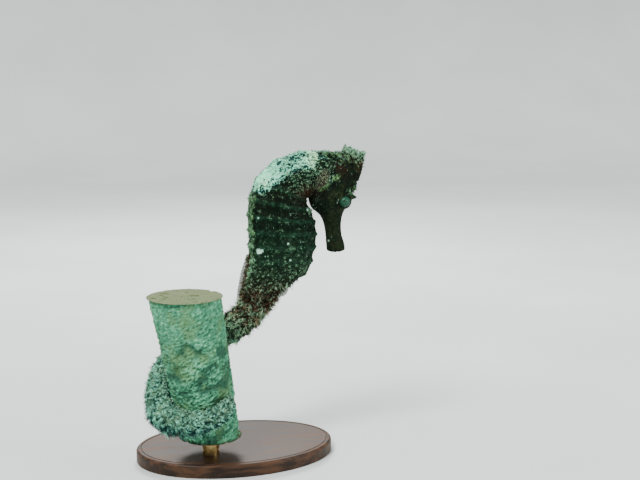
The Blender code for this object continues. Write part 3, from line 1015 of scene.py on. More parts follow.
@dataclass(frozen=True)
class EyeFinish(Finish):
    """Dark rim of painted socket shade round the ball's edge, green iris with fine spokes, and a pupil, under
    a wet gloss. Angles are in radians.
    """

    name = "seahorse_eye"
    pupil: float = 0.22
    # limb: how far from the sight line the dark rim of painted socket shade begins
    limb: float = 1.28
    spoke_stretch: Pair = (3.2, 1.4)
    spoke_texture: Texture = Texture(2.6, 4, 0.7)
    iris_dark: Colour = (0.005, 0.032, 0.018, 1)
    iris_light: Colour = (0.016, 0.100, 0.054, 1)
    collar: Colour = (0.022, 0.070, 0.034, 1)
    pupil_colour: Colour = (0.005, 0.030, 0.019, 1)
    # rim: painted shade of the socket at the ball's edge
    rim: Colour = (0.003, 0.005, 0.004, 1)

    def looks(self, tree: Tree) -> dict:
        """It reads gaze, the place on the ball with Z along the sight line."""
        parts = tree.add("ShaderNodeSeparateXYZ", {0: tree.place("gaze")})
        angle = tree.math("ARCCOSINE", parts.outputs[2])
        around = tree.math("ARCTAN2", parts.outputs[1], parts.outputs[0])
        turn, out = self.spoke_stretch
        place = tree.joined(X=tree.times(around, turn), Y=tree.times(angle, out))
        spokes = tree.noise(place, self.spoke_texture)
        iris = tree.mix(tree.ramp(spokes, 0.35, 0.65), self.iris_dark, self.iris_light)
        iris = tree.mix(tree.ramp(angle, self.pupil, self.pupil + 0.22, 1, 0), iris, self.collar)
        dark = tree.ramp(angle, self.pupil - 0.04, self.pupil + 0.03, 1, 0)
        iris = tree.mix(dark, iris, self.pupil_colour)
        # the ball's edge beyond the limb takes the rim colour: painted socket shade
        return {
            "Base Color": tree.mix(tree.ramp(angle, self.limb - 0.18, self.limb), iris, self.rim),
            "Roughness": 0.45,
            "Specular IOR Level": 0.15,
            "Coat Weight": 0.15,
            "Coat Roughness": 0.10,
        }


@dataclass(frozen=True)
class SpongeFinish(Finish):
    """Grey-green sponge: fine pimples over larger wrinkles, and a paler, fibrous cut."""

    name = "sponge"
    grain: NodeTree
    outside: Colour = (0.078, 0.305, 0.170, 1)
    # crest: painted highlight on wrinkle crests and pimple tops
    crest: Colour = (0.200, 0.63, 0.37, 1)
    # hollow: painted shade in hollows, furrows and grain pits
    hollow: Colour = (0.024, 0.072, 0.046, 1)
    olive: Colour = (0.150, 0.30, 0.12, 1)
    # canal: painted shade in the cut ends' canal holes
    canal: Colour = (0.035, 0.045, 0.020, 1)
    flesh: Colour = (0.18, 0.22, 0.10, 1)
    fibre: Colour = (0.12, 0.16, 0.07, 1)
    grain_scale: float = 1.5
    pimple_scale: float = 1.9
    hole_scale: float = 0.85
    tone_texture: Texture = Texture(0.16, 3, 0.6)
    fibre_texture: Texture = Texture(3.5, 4, 0.7)

    def _outside(self, tree: Tree, place: Socket, pimples: Socket, grain: Socket) -> Socket:
        """The sides' colour, by height (-1 to 1 over the wrinkles), pimples and grain: painted highlight on
        crests and pimple tops, painted shade in hollows and grain pits.
        """
        height, tone = tree.number("height"), tree.noise(place, self.tone_texture)
        # painted highlight on high wrinkles, painted shade in low ones
        colour = tree.mix(tree.ramp(height, 0.0, 0.9), self.outside, self.crest)
        colour = tree.mix(tree.ramp(height, -0.7, 0.1, 0.75, 0), colour, self.hollow)
        colour = tree.mix(tree.ramp(tone, 0.46, 0.66, 0, 0.6), colour, self.olive)
        # painted highlight on the pimples' tops
        colour = tree.mix(tree.ramp(pimples, 0.05, 0.42, 0.25, 0), colour, self.crest)
        # painted shade in the grain's pits
        return tree.mix(tree.ramp(grain, 0.30, 0.45, 0.35, 0), colour, self.hollow)

    def _inside(self, tree: Tree, place: Socket) -> Socket:
        """The cut ends' colour: canal holes painted dark as their shade, in fibrous flesh."""
        holes = tree.ramp(tree.cells(place, self.hole_scale).outputs["Distance"], 0.12, 0.32)
        fibres = tree.ramp(tree.noise(place, self.fibre_texture), 0.35, 0.6)
        return tree.mix(fibres, tree.mix(holes, self.canal, self.flesh), self.fibre)

    def looks(self, tree: Tree) -> dict:
        """It reads height and cut (1 on a cut end)."""
        place = tree.grown(tree.own_place(), 1 / MM)
        grain = tree.add("ShaderNodeGroup", {"Place": place, "Scale": self.grain_scale}, node_tree=self.grain)
        pimples, height = tree.cells(place, self.pimple_scale).outputs["Distance"], grain.outputs["Height"]
        outside, inside = self._outside(tree, place, pimples, height), self._inside(tree, place)
        return {
            "Base Color": tree.mix(tree.number("cut"), outside, inside),
            "Normal": tree.relief(tree.minus(height, tree.times(pimples, 0.5)), 1.0, 0.60),
            "Roughness": 0.75,
            "Specular IOR Level": 0.12,
        }


@dataclass(frozen=True)
class WoodFinish(Finish):
    """Dark varnished wood with long grain along X."""

    name = "dark_wood"
    dark: Colour = (0.018, 0.009, 0.005, 1)
    light: Colour = (0.075, 0.034, 0.016, 1)
    pore: Colour = (0.008, 0.005, 0.003, 1)
    bend_scale: float = 0.05
    bend_reach: Point = (0, 6, 6)
    ring_texture: Texture = Texture(1.0, 5, 0.6)
    ring_stretch: Point = (0.03, 0.55, 0.55)
    pore_texture: Texture = Texture(1.0, 3, 0.7)
    pore_stretch: Point = (0.25, 4.0, 4.0)

    def looks(self, tree: Tree) -> dict:
        """Dark and light rings along the grain, with pores."""
        place = tree.grown(tree.own_place(), 1 / MM)
        swirl = tree.add("ShaderNodeTexNoise", {"Vector": place, "Scale": self.bend_scale}).outputs["Color"]
        bent = tree.vector("ADD", place, tree.stretched(swirl, self.bend_reach))
        rings = tree.noise(tree.stretched(bent, self.ring_stretch), self.ring_texture)
        pores = tree.noise(tree.stretched(place, self.pore_stretch), self.pore_texture)
        colour = tree.mix(tree.ramp(rings, 0.35, 0.65), self.dark, self.light)
        return {
            "Base Color": tree.mix(tree.ramp(pores, 0.60, 0.72, 0, 0.7), colour, self.pore),
            "Normal": tree.relief(pores, 0.25, 0.05),
            "Roughness": tree.ramp(rings, 0.3, 0.7, 0.42, 0.58),
            "Specular IOR Level": 0.22,
        }


@dataclass(frozen=True)
class BrassFinish(Finish):
    """Turned brass with fine rings round its length."""

    name = "brass"
    bright: Colour = (0.62, 0.44, 0.19, 1)
    stained: Colour = (0.45, 0.31, 0.13, 1)
    ring_texture: Texture = Texture(1.0, 2, 0.5)
    ring_stretch: Point = (60.0, 60.0, 16000.0)
    stain_texture: Texture = Texture(700.0, 3, 0.6)

    def looks(self, tree: Tree) -> dict:
        """Two tones of brass, in stains."""
        place = tree.own_place()
        rings = tree.noise(tree.stretched(place, self.ring_stretch), self.ring_texture)
        stains = tree.ramp(tree.noise(place, self.stain_texture), 0.4, 0.7)
        return {
            "Base Color": tree.mix(stains, self.bright, self.stained),
            "Roughness": tree.ramp(rings, 0.3, 0.7, 0.22, 0.40),
            "Metallic": 1.0,
        }


# ---- the skin


class EyePlace(NamedTuple):
    """Where an eyeball is and how large."""

    centre: Array
    radius: float


class Spine(NamedTuple):
    """A bony point of the left side: its root (Y from the middle plane), direction, length and radius."""

    root: Point
    direction: Point
    length: float
    radius: float


class Patch(NamedTuple):
    """A round patch seen from the side."""

    x: float
    z: float
    reach: float


class Places:
    """Points of the skin, one a row, with what the body's plan says about each."""

    def __init__(self, plan: BodyPlan, points: Array, along: Array, edge: Array) -> None:
        """Works out what is known about each point from its place along the body and its edge number."""
        self.points, self.along, self.edge = points, along, edge
        self.facts = plan.read(along)
        offset = points - self.facts["middle"]
        side, up = (offset * self.facts["side"]).sum(1), (offset * self.facts["up"]).sum(1)
        self.straight = np.stack([along, side, up], axis=-1)
        self.y = points[:, 1] - plan.plane
        self.thickness = self.facts["half_depth"] + self.facts["half_width"]

    def near(self, patch: Patch) -> Array:
        """Nearness to a patch, seen from the side."""
        return bump(np.hypot(self.points[:, 0] - patch.x, self.points[:, 2] - patch.z), 0, patch.reach)

    def distance(self, centre: Array) -> Array:
        """Each point's distance from a place."""
        return np.linalg.norm(self.points - centre, axis=1)


@dataclass
class Crown:
    """The coronet: a stem that flares into knobs, leaning back from the rear of the head."""

    plane: float
    foot: Pair = (37.6, 86.4)
    lean: float = math.radians(70)
    height: float = 6.1
    knobs: int = 5
    narrow: float = 0.8
    degrees_apart: int = 5
    profile: tuple[Point, ...] = (
        *((-0.45, 4.4, 0.00), (0.05, 4.3, 0.03), (0.35, 4.0, 0.06), (0.62, 3.5, 0.11), (0.80, 3.1, 0.20)),
        *((0.94, 2.9, 0.26), (1.00, 2.3, 0.22), (0.90, 1.4, 0.10), (0.80, 0.5, 0.00)),
    )
    knob_place: Pair = (0.86, 2.8)
    coarse: Noise = Noise(0.60, 4.0, 3)
    fine: Noise = Noise(1.8, 9.0)

    def __post_init__(self) -> None:
        """Works out its directions and its root."""
        self.up = np.array((math.cos(self.lean), 0, math.sin(self.lean)))
        self.along = np.array((-math.sin(self.lean), 0, math.cos(self.lean)))
        self.root = np.array((self.foot[0], self.plane, self.foot[1]))

    def add_to(self, parts: MeshParts) -> None:
        """Adds the stem, by rows of share of height, reach and lobe depth, and a point on each knob."""
        angle = np.arange(0, 360, self.degrees_apart)[:, None] * math.pi / 180
        rows = []
        for share, reach, lobe in self.profile:
            wave = 1 + lobe * np.cos(self.knobs * angle)
            ring = (self.along * np.cos(angle) + ACROSS * self.narrow * np.sin(angle)) * reach * wave
            rows.append(self.root + self.up * self.height * share + ring)
        parts.tube(np.array(rows))
        share, reach = self.knob_place
        middle = self.root + self.up * self.height * share
        for i in range(self.knobs):
            turn = 2 * math.pi * i / self.knobs
            out = self.along * math.cos(turn) + ACROSS * self.narrow * math.sin(turn)
            parts.spine(middle + out * reach, out * 0.6 + self.up, 1.4, 0.70)

    def rise(self, points: Array) -> Array:
        """How far above the coronet's root each point is."""
        return (points - self.root) @ self.up

    def mask(self, points: Array) -> Array:
        """1 on the coronet, 0 away from it."""
        rise = self.rise(points)
        spread = np.linalg.norm(points - self.root - rise[:, None] * self.up, axis=1)
        return smooth_step(rise, 1.0, 2.6) * smooth_step(spread, 6.0, 4.6)

    def relief(self, points: Array) -> Array:
        """How far the coronet's folds rise."""
        return self.mask(points) * (0.42 * self.coarse.at(points) + 0.14 * self.fine.at(points))


@dataclass
class Relief:
    """How the smooth skin is raised: rings, ridges and knobs, gill covers, mouth, orbits and folds."""

    plan: BodyPlan
    crown: Crown
    eyes: dict[Side, EyePlace]
    mouth: Array
    ring_crest: float = 0.24
    ridge_height: float = 0.16
    knob_height: float = 0.34
    plate_hollow: float = 0.10
    side_edges: tuple[int, int] = (2, 5)
    gill_centre: Pair = (34.6, 83.6)
    gill_half: Pair = (3.5, 4.0)
    gill_fan_root: Pair = (2.2, -3.5)
    gill_rays: int = 30
    jowl: Patch = Patch(26.6, 74.6, 1.6)
    orbit_spokes: int = 16
    wrinkles: Noise = Noise(1.0, 15.0, 2, (1.3, 0.30, 0.30))
    pebbles: Noise = Noise(1.5, 25.0)
    lumps: Noise = Noise(0.7, 35.0)
    creases: Noise = Noise(1.0, 45.0, 1, (0.25, 1.6, 1.6))

    def _plates(self, at: Places) -> Array:
        """Ring crests, ridges, the knobs where they cross, and the hollow plates between."""
        crest, _, phase = self.plan.rings(at.along)
        tail = self.plan.past(at.along, "vent", "vent", -2, 4)
        nearest = np.round(at.edge) % EDGES
        to_ridge = np.abs(at.edge - np.round(at.edge)) * (at.thickness / 2) * 0.9
        lower = np.where(nearest == 0, 1 - 0.7 * tail, 1.0)
        strength = np.where(np.isin(nearest, self.side_edges), 1 - tail, lower)
        ridge = bump(to_ridge, 0, 0.55) * strength
        knob = bump(to_ridge, 0, 0.85) * strength * bump(phase, 0.5, 0.20)
        hollow = self.plate_hollow * np.sin(math.pi * (at.edge % 1.0)) ** 2 * (1 - crest)
        return self.ring_crest * crest + self.ridge_height * ridge + self.knob_height * knob - hollow

    def _gill(self, at: Places) -> Array:
        """The domed, finely rayed gill cover and the groove round it."""
        x, z = at.points[:, 0] - self.gill_centre[0], at.points[:, 2] - self.gill_centre[1]
        far = np.sqrt((x / self.gill_half[0]) ** 2 + (z / self.gill_half[1]) ** 2)
        fan = np.sin(self.gill_rays * np.arctan2(z - self.gill_fan_root[1], x - self.gill_fan_root[0]))
        return smooth_step(far, 1.0, 0.35) * (0.42 + 0.05 * fan) - 0.22 * bump(far, 1.12, 0.10)

    def _mouth(self, points: Array) -> Array:
        """The slit of the small upturned mouth, and the lips round it."""
        depth = (points - self.mouth) @ self.plan.ahead(0.0)
        level = (points[:, 0] - self.mouth[0]) - 0.55 * depth - 0.4
        near = smooth_step(depth, 1.3, 0.4)
        return near * (0.14 * bump(level, 0, 0.9) - 0.55 * bump(level, 0, 0.24))

    def _orbit(self, at: Places, eye: EyePlace) -> Array:
        """The raised rim round an eye, with fine spokes outside it."""
        near = at.distance(eye.centre)
        x, z = at.points[:, 0] - eye.centre[0], at.points[:, 2] - eye.centre[2]
        spokes = bump(near, eye.radius + 0.75, 0.35) * 0.05 * np.sin(np.arctan2(z, x) * self.orbit_spokes)
        return spokes + 0.10 * bump(near, eye.radius + 0.10, 0.30)

    def height(self, at: Places) -> Array:
        """How far the skin rises along its normal at each place, in millimetres."""
        slim = np.clip(at.thickness / 2 / 4.0, 0.25, 1.0)
        ringed = self.plan.rings(at.along)[1]
        height = ringed * slim * self._plates(at)
        head = 1 - self.plan.past(at.along, "nape", "nape", -3, 2)
        height += head * smooth_step(np.abs(at.y), 1.8, 2.8) * self._gill(at)
        height += head * 0.35 * at.near(self.jowl) + head * self._mouth(at.points)
        for eye in self.eyes.values():
            height += self._orbit(at, eye)
        height += self.crown.relief(at.points)
        snout = 1 - self.plan.past(at.along, "snout_root", "eye_level")
        wrinkle = self.wrinkles.at(at.straight) * 0.07 * ringed * slim
        pebble = self.pebbles.at(at.points) * 0.045 + self.lumps.at(at.points) * 0.06
        creases = snout * 0.05 * self.creases.at(at.straight)
        return height + wrinkle + pebble * (1 - 0.5 * snout) * slim + creases


@dataclass
class SkinMap:
    """Where each marking and each kind of coat lies on the skin."""

    plan: BodyPlan
    crown: Crown
    eyes: dict[Side, EyePlace]
    at: Places
    saddle_floor: Levels = (
        *(("neck_middle", 0.28), ("neck_bend", 0.36), ("withers", 0.36)),
        *(("shoulder", 0.42), ("shoulder_low", 0.62), ("chest", 0.86)),
    )
    bright_saddle: tuple[Patch, Patch] = (Patch(11.8, 82.6, 3.4), Patch(25.5, 90.8, 3.6))
    creamy_neck: Patch = Patch(26.4, 90.0, 3.2)
    creamy_shoulder: Patch = Patch(10.3, 82.9, 1.8)
    rusty_head: tuple[Patch, Patch] = (Patch(34.4, 86.4, 2.2), Patch(41.3, 86.0, 2.0))
    brow: Patch = Patch(39.8, 79.8, 2.0)
    gill: Patch = Patch(30.5, 83.5, 4.0)
    gill_rear: Patch = Patch(28.9, 84.0, 2.3)
    dark_cheek: Patch = Patch(33.6, 79.2, 4.6)
    flecks: tuple[Patch, ...] = (Patch(36.6, 79.8, 1.4), Patch(33.2, 76.4, 0.9), Patch(25.2, 74.0, 1.7))
    gill_line: tuple[Pair, Pair] = ((33.1, 84.6), (28.0, 80.7))
    spots: tuple[Patch, ...] = (
        *(Patch(8.6, 62.3, 0.95), Patch(17.0, 64.6, 0.30), Patch(17.7, 59.4, 0.24), Patch(8.2, 72.5, 0.26)),
        *(Patch(23.9, 74.2, 0.30), Patch(33.3, 77.1, 0.13), Patch(33.0, 76.2, 0.17)),
        *(Patch(31.7, 65.6, 0.17), Patch(30.9, 64.2, 0.26)),
    )
    left_spot_shift: Pair = (1.9, -1.6)
    saddle_edge: Noise = Noise(0.55, 97.0, 2)
    tail_edge: Noise = Noise(0.5, 93.0)
    strip_gaps: Noise = Noise(0.35, 91.0)
    gill_line_edge: Noise = Noise(0.8, 95.0)
    spot_edge: Noise = Noise(1.3, 81.0)

    def __post_init__(self) -> None:
        """Works out the regions that several masks use."""
        plan, along = self.plan, self.at.along
        self.upward = self.at.straight[:, 2] / self.at.facts["half_depth"]
        self.on_crown = self.crown.mask(self.at.points)
        self.tail = plan.past(along, "belly_low", "tail_root")
        self.ring = plan.past(along, "tail_free", "tail_near_perch", 0, 6)
        self.root = plan.around(along, "tail_root", 9.5, 1.0)
        self.head = 1 - plan.past(along, "nape", "nape", -2, 2)
        self.flank = (1 - self.head) * (1 - self.tail)
        self.nape = 0.8 * plan.around(along, "neck_top", 2.6, -1.0) * smooth_step(self.upward, 0.6, 0.95)
        self.strip = plan.past(along, "shoulder_low", "chest") * (1 - self.tail)
        gaps = smooth_step(self.strip_gaps.at(self.at.points), -0.9, 0.0)
        self.strip *= smooth_step(self.upward, 0.88, 0.97) * gaps
        torn = along + 1.6 * self.saddle_edge.at(self.at.points)
        self.window = plan.past(torn, "neck_top", "neck_middle", -0.5, 0.3)
        self.window *= 1 - plan.past(along, "shoulder_low", "chest", 0, 2)

    def _saddle(self) -> Array:
        """The pale saddle over neck and shoulders, brightest on its two bulges."""
        floor = self.plan.levels(self.at.along, self.saddle_floor)
        saddle = self.window * smooth_step(self.upward - floor, -0.50, 0.18)
        rear, front = (self.at.near(patch) for patch in self.bright_saddle)
        return saddle + self.window * saddle * 0.25 * (rear + front)

    def _rust(self) -> Array:
        """Rusty brown under the neck, at the tail's root, on the crown and above the gill."""
        neck = self.plan.around(self.at.along, "neck_bend", 7.0) * smooth_step(self.upward, -0.1, -0.6)
        above, behind = (self.at.near(patch) for patch in self.rusty_head)
        rust = 0.7 * neck + 0.65 * self.root + 0.35 * self.on_crown + 0.28 * (above + behind) + 0.04
        return np.clip(rust, 0, 1)

    def _lichen(self) -> Array:
        """Yellowish green on nape, back strip, brows and gill line, and cream on the saddle."""
        near = self.at.near
        creamy = self.window * (0.8 * near(self.creamy_neck) + 0.4 * near(self.creamy_shoulder))
        return np.clip(self.nape + self.strip + creamy + 0.7 * near(self.brow) + self._gill_line(), 0, 1)

    def _cheek(self) -> Array:
        """The cheek and snout, which stay dark."""
        cheek = self.head * np.clip(1.3 * self.at.near(self.dark_cheek), 0, 1)
        return np.maximum(np.clip(cheek, 0, 1), 0.5 * self.plan.past(self.at.along, "cheek", "nose"))

    def _tail_frost(self) -> Array:
        """Frost on the tail: less at its root, and less on the underside of its turn as painted shade."""
        at, tail_root = self.at, self.plan.at("tail_root")
        raised = (at.points[:, 2] - at.facts["middle"][:, 2]) / at.thickness
        # painted shade: less frost on the underside of the tail's turn
        shaded = self.ring * smooth_step(raised, 0.10, -0.25)
        pale = smooth_step(at.along + 1.2 * self.tail_edge.at(at.points), tail_root - 3.5, tail_root + 2.5)
        frost = (0.12 * self.tail + 0.46 * pale) * (1 - 0.35 * self.root) * (1 - 0.75 * shaded)
        return frost + 0.10 * self.ring

    def _frost(self) -> Array:
        """How pale the skin's flecks and the coat's tips are; below 0 the skin is calm and dark."""
        plan, along, near = self.plan, self.at.along, self.at.near
        under = plan.past(along, "neck_top", "neck_middle", -3) * smooth_step(self.upward, -0.85, -0.45)
        under *= 1 - plan.past(along, "shoulder", "shoulder_low", -3, 3)
        fringe = self.on_crown * smooth_step(self.crown.rise(self.at.points), 2.0, 5.5)
        brow, gill, gill_rear = near(self.brow), near(self.gill), near(self.gill_rear)
        frost = self._tail_frost() + 0.3 * self.on_crown + 0.6 * fringe
        patches = 0.5 * brow + 0.5 * gill_rear + 0.5 * gill + 0.45 * under + 0.5 * self.strip
        frost += patches + 0.03 * (1 - self.head)
        frost += 0.06 * plan.around(along, "tail_free", 6.0)
        frost += 0.36 * self.flank * plan.past(along, "trunk_middle", "flank")
        flecked = sum(near(patch) for patch in self.flecks)
        return np.clip(frost + 0.8 * flecked - 0.45 * self._cheek(), -0.4, 1)

    def _gill_line(self) -> Array:
        """1 on the pale line down the rear edge of the gill cover."""
        points = self.at.points
        (x, z), (x_end, z_end) = self.gill_line
        run = np.array((x_end - x, z_end - z))
        share = np.clip(((points[:, 0] - x) * run[0] + (points[:, 2] - z) * run[1]) / (run @ run), 0, 1)
        far = np.hypot(points[:, 0] - x - share * run[0], points[:, 2] - z - share * run[1])
        return 1.4 * bump(far + 0.2 * self.gill_line_edge.at(points), 0, 0.5)

    def _spots(self) -> Array:
        """1 inside the few large white spots; the left flank's stand elsewhere than the right's."""
        points = self.at.points
        mask = np.zeros(len(points))
        left = np.where(self.at.y > 0, 1.0, 0.0)
        ragged = 0.9 * self.spot_edge.at(points)
        shift_x, shift_z = self.left_spot_shift
        for x, z, radius in self.spots:
            aside, above = points[:, 0] - x - shift_x * left, (points[:, 2] - z - shift_z * left) * 1.3
            far = np.hypot(aside, above) + ragged * radius
            soft = min(0.2, 0.6 * radius)
            mask = np.maximum(mask, smooth_step(far, radius + soft, radius - soft) * min(1.0, radius / 0.28))
        return mask * smooth_step(np.abs(self.at.y), 0.8, 1.6)

    def _clear(self) -> Array:
        """0 on and close round the eyes, 1 elsewhere."""
        clear = np.ones(len(self.at.points))
        for eye in self.eyes.values():
            clear *= smooth_step(self.at.distance(eye.centre), eye.radius + 0.25, eye.radius + 1.0)
        return clear

    def masks(self) -> dict[str, Array]:
        """Works out every mask."""
        at, plan, clear, saddle = self.at, self.plan, self._clear(), self._saddle()
        low = plan.past(at.along, "chest", "belly")
        held = self.ring * smooth_step(self.upward, -0.4, -0.85)
        top = smooth_step(self.upward, 0.75, 0.95)
        head_tufts = self.on_crown + 0.9 * self.nape + at.near(self.brow) + 0.7 * at.near(self.gill_rear)
        return {
            "saddle": saddle,
            "frost": self._frost(),
            "rust": self._rust(),
            "lichen": self._lichen(),
            "spots": self._spots(),
            # crest: ring crests and lower trunk, coloured with moss: partly own bands, partly painted
            # highlight on the ridges
            "crest": self.flank * np.clip(plan.rings(at.along)[0] + 0.6 * low, 0, 1),
            "cool": np.clip(smooth_step(saddle, 0.55, 0.95) + 0.9 * self.ring, 0, 1),
            "growth": np.clip(at.thickness / 7.0, 0.35, 1.0) * (1 - 0.6 * held),
            "on_tail": self.tail * (1 - self.ring),
            "on_ring": self.ring,
            "on_crown": np.clip(head_tufts, 0, 1) * clear,
            "on_saddle": self.flank * np.clip(saddle * 1.2 + 0.5 * top, 0, 1),
            "on_flank": self.flank * (1 - 0.6 * saddle),
            "on_face": self.head * (1 - self.on_crown) * clear * smooth_step(at.along, 0.8, 3.0),
        }


@dataclass
class Skin:
    """The one skin of head, neck, trunk and tail, with what stands on it: crown, brows and orbits."""

    plan: BodyPlan
    row_step: float = 0.42
    columns_per_edge: int = 22
    voxel: float = 0.27
    smoothing: tuple[float, int] = (0.5, 5)
    orbit_radius: float = 2.36
    orbit_depth: float = 0.85
    socket_gap: float = 0.05
    squeeze: float = 0.62
    depth_stations: Levels = (
        *(("mouth", -0.12), ("snout_root", 0.05), ("crown", 0.30)),
        *(("shoulder", 0.50), ("belly_low", 0.45), ("tail_bend", 0.95), ("tip", 0.55)),
    )
    lip_profile: Pairs = ((0.12, 0.62), (0.45, 0.60), (0.72, 0.50), (0.90, 0.30))
    tip_profile: Pairs = ((0.8, 0.3), (0.45, 0.55), (0.1, 0.62))
    paired_spines: tuple[Spine, ...] = (
        Spine((38.2, 2.2, 77.8), (1, 0.45, -0.15), 1.5, 0.85),
        Spine((38.9, 1.6, 80.4), (1, 0.4, 0.2), 0.9, 0.9),
        Spine((27.9, 2.5, 76.3), (-0.5, 1, -0.5), 1.1, 0.6),
        Spine((31.0, 2.6, 74.2), (-0.3, 1, -0.6), 0.7, 0.5),
    )
    middle_spine: Spine = Spine((39.6, 0, 81.6), (1, 0, -0.1), 0.9, 0.9)
    swirl_scale: float = 0.35
    swirl_shifts: Point = (51.0, 61.0, 71.0)
    droop: Point = (0, 0, -0.25)
    head_nodes: tuple[str, ...] = ("snout", "head", "coronet", "neck", "trunk_front", "trunk_rear")
    tail_nodes: int = 5

    def __post_init__(self) -> None:
        """Finds the eyes' places and the coronet."""
        self.eyes: dict[Side, EyePlace] = {}
        for side in Side:
            low, high = solid_box(f"eye_{side.label}")
            self.eyes[side] = EyePlace((low + high) / 2, float(high[2] - low[2]) / 2)
        self.crown = Crown(self.plan.plane)

    def coat_depth(self, along: Array, upward: Array) -> Array:
        """How far the skin lies inside the solids.

        Args:
            along: Places along the body.
            upward: The outline's up shares, from -1 at the keel to 1 on the back.

        Returns:
            The depth, of the two arrays' shape.
        """
        plan = self.plan
        depth = plan.levels(along, self.depth_stations)
        on_perch = plan.past(along, "tail_near_perch", "tail_near_perch", 0, 8)
        gripping = on_perch * smooth_step(-upward, 0.0, 0.9)
        throat = plan.around(along, "cheek", 4.0) + plan.past(along, "nape", "neck_top")
        throat *= 1 - plan.past(along, "chest_low", "belly_top")
        keel = np.clip(throat, 0, 1) * smooth_step(-upward, 0.55, 0.9)
        return depth * (1 - gripping) * (1 - 0.8 * keel) - self.squeeze * gripping

    def _body(self, parts: MeshParts) -> None:
        """Adds the loft, with a small mouth and a blunt tip, and keeps its grid for looking places up."""
        plan = self.plan
        self.grid_along = np.linspace(0.0, plan.end, int(plan.end / self.row_step))
        self.grid_edge = np.arange(EDGES * self.columns_per_edge) / self.columns_per_edge
        upward = plan.section(plan.read(self.grid_along), self.grid_edge)[..., 1]
        inset = self.coat_depth(self.grid_along[:, None], upward)
        self.grid = plan.surface(self.grid_along, self.grid_edge, inset)
        lips = self._narrowed(self.grid[0], -plan.ahead(0.0), self.lip_profile)
        tip = self._narrowed(self.grid[-1], plan.ahead(plan.end), self.tip_profile)
        parts.tube(np.concatenate([lips, self.grid, tip]))
        points = self.grid.reshape(-1, 3)
        self.finder = kdtree.KDTree(len(points))
        for i, point in enumerate(points):
            self.finder.insert(point, i)
        self.finder.balance()

    def _narrowed(self, row: Array, away: Array, profile: Pairs) -> Array:
        """Rows beyond an end row, each at its share of the row's size and its way out."""
        middle = row.mean(axis=0)
        return np.array([middle + (row - middle) * share + away * out for share, out in profile])

    def _spine(self, parts: MeshParts, spine: Spine, sign: int) -> None:
        """Adds a bony point on the side of this sign."""
        mirror = np.array((1, sign, 1))
        root = np.array((0, self.plan.plane, 0)) + mirror * spine.root
        parts.spine(root, mirror * spine.direction, spine.length, spine.radius)

    def _head_points(self, parts: MeshParts) -> None:
        """Adds orbits, brow spines, cheek spines and the small spine before the crown."""
        for side, eye in self.eyes.items():
            parts.ball(eye.centre - ACROSS * side.value * self.orbit_depth, self.orbit_radius, 40)
            for spine in self.paired_spines:
                self._spine(parts, spine, side.value)
        self._spine(parts, self.middle_spine, 1)

    def _places(self, mesh: Mesh) -> Places:
        """The mesh's points, looked up on the loft's grid."""
        points = coordinates(mesh)
        found = np.array([self.finder.find(p)[1] for p in points])
        columns = len(self.grid_edge)
        return Places(self.plan, points, self.grid_along[found // columns], self.grid_edge[found % columns])

    def _fused(self, obj: Object) -> Object:
        """All forms as one smooth closed mesh."""
        remesh = obj.modifiers.new("fuse", "REMESH")
        remesh.mode, remesh.voxel_size, remesh.adaptivity = "VOXEL", self.voxel * MM, 0.0
        soften = obj.modifiers.new("soften", "SMOOTH")
        soften.factor, soften.iterations = self.smoothing
        return applied(obj, "skin_fused")

    def _cut_sockets(self, obj: Object) -> Object:
        """Cuts a close-fitting socket for each eye."""
        cutters = []
        for side, eye in self.eyes.items():
            parts = MeshParts()
            parts.ball(eye.centre, eye.radius + self.socket_gap, 64)
            cutters.append(parts.object(f"socket_{side.label}"))
            modifier = obj.modifiers.new("socket", "BOOLEAN")
            modifier.operation, modifier.solver, modifier.object = "DIFFERENCE", "EXACT", cutters[-1]
        obj = applied(obj, "skin")
        for cutter in cutters:
            bpy.data.objects.remove(cutter)
        return obj

    def _lie(self, at: Places, normal: Array) -> Array:
        """The way the coat leans at each point: along the surface, towards the tail, or up on the crown."""
        swirl = np.stack([Noise(self.swirl_scale, s).at(at.points) for s in self.swirl_shifts], axis=-1)
        lean = at.facts["ahead"] + 0.7 * swirl + np.array(self.droop)
        crown = self.crown.mask(at.points)[:, None]
        lean = lean * (1 - crown) + self.crown.up * crown
        return unit(lean - (lean * normal).sum(1, keepdims=True) * normal)

    def build(self, finish: Material) -> Object:
        """Makes the skin: all forms fused, smoothed, given their relief, and marked."""
        parts = MeshParts()
        self._body(parts)
        self.crown.add_to(parts)
        self._head_points(parts)
        obj = self._fused(parts.object("skin_forms"))
        at = self._places(obj.data)
        relief = Relief(self.plan, self.crown, self.eyes, self.grid[0].mean(axis=0))
        normals = rows_of_three(obj.data.vertex_normals, "vector")
        move_points(obj.data, at.points + normals * relief.height(at)[:, None])
        obj = self._cut_sockets(obj)
        obj.data.shade_smooth()
        at = self._places(obj.data)
        masks = SkinMap(self.plan, self.crown, self.eyes, at).masks()
        normals = rows_of_three(obj.data.vertex_normals, "vector")
        store(obj.data, straight=at.straight, **masks, lie=self._lie(at, normals))
        tail_nodes = [f"tail_{i}" for i in range(1, self.tail_nodes + 1)]
        return dress(obj, Slot.SKIN, finish, *self.head_nodes, *tail_nodes)


# ---- the coat


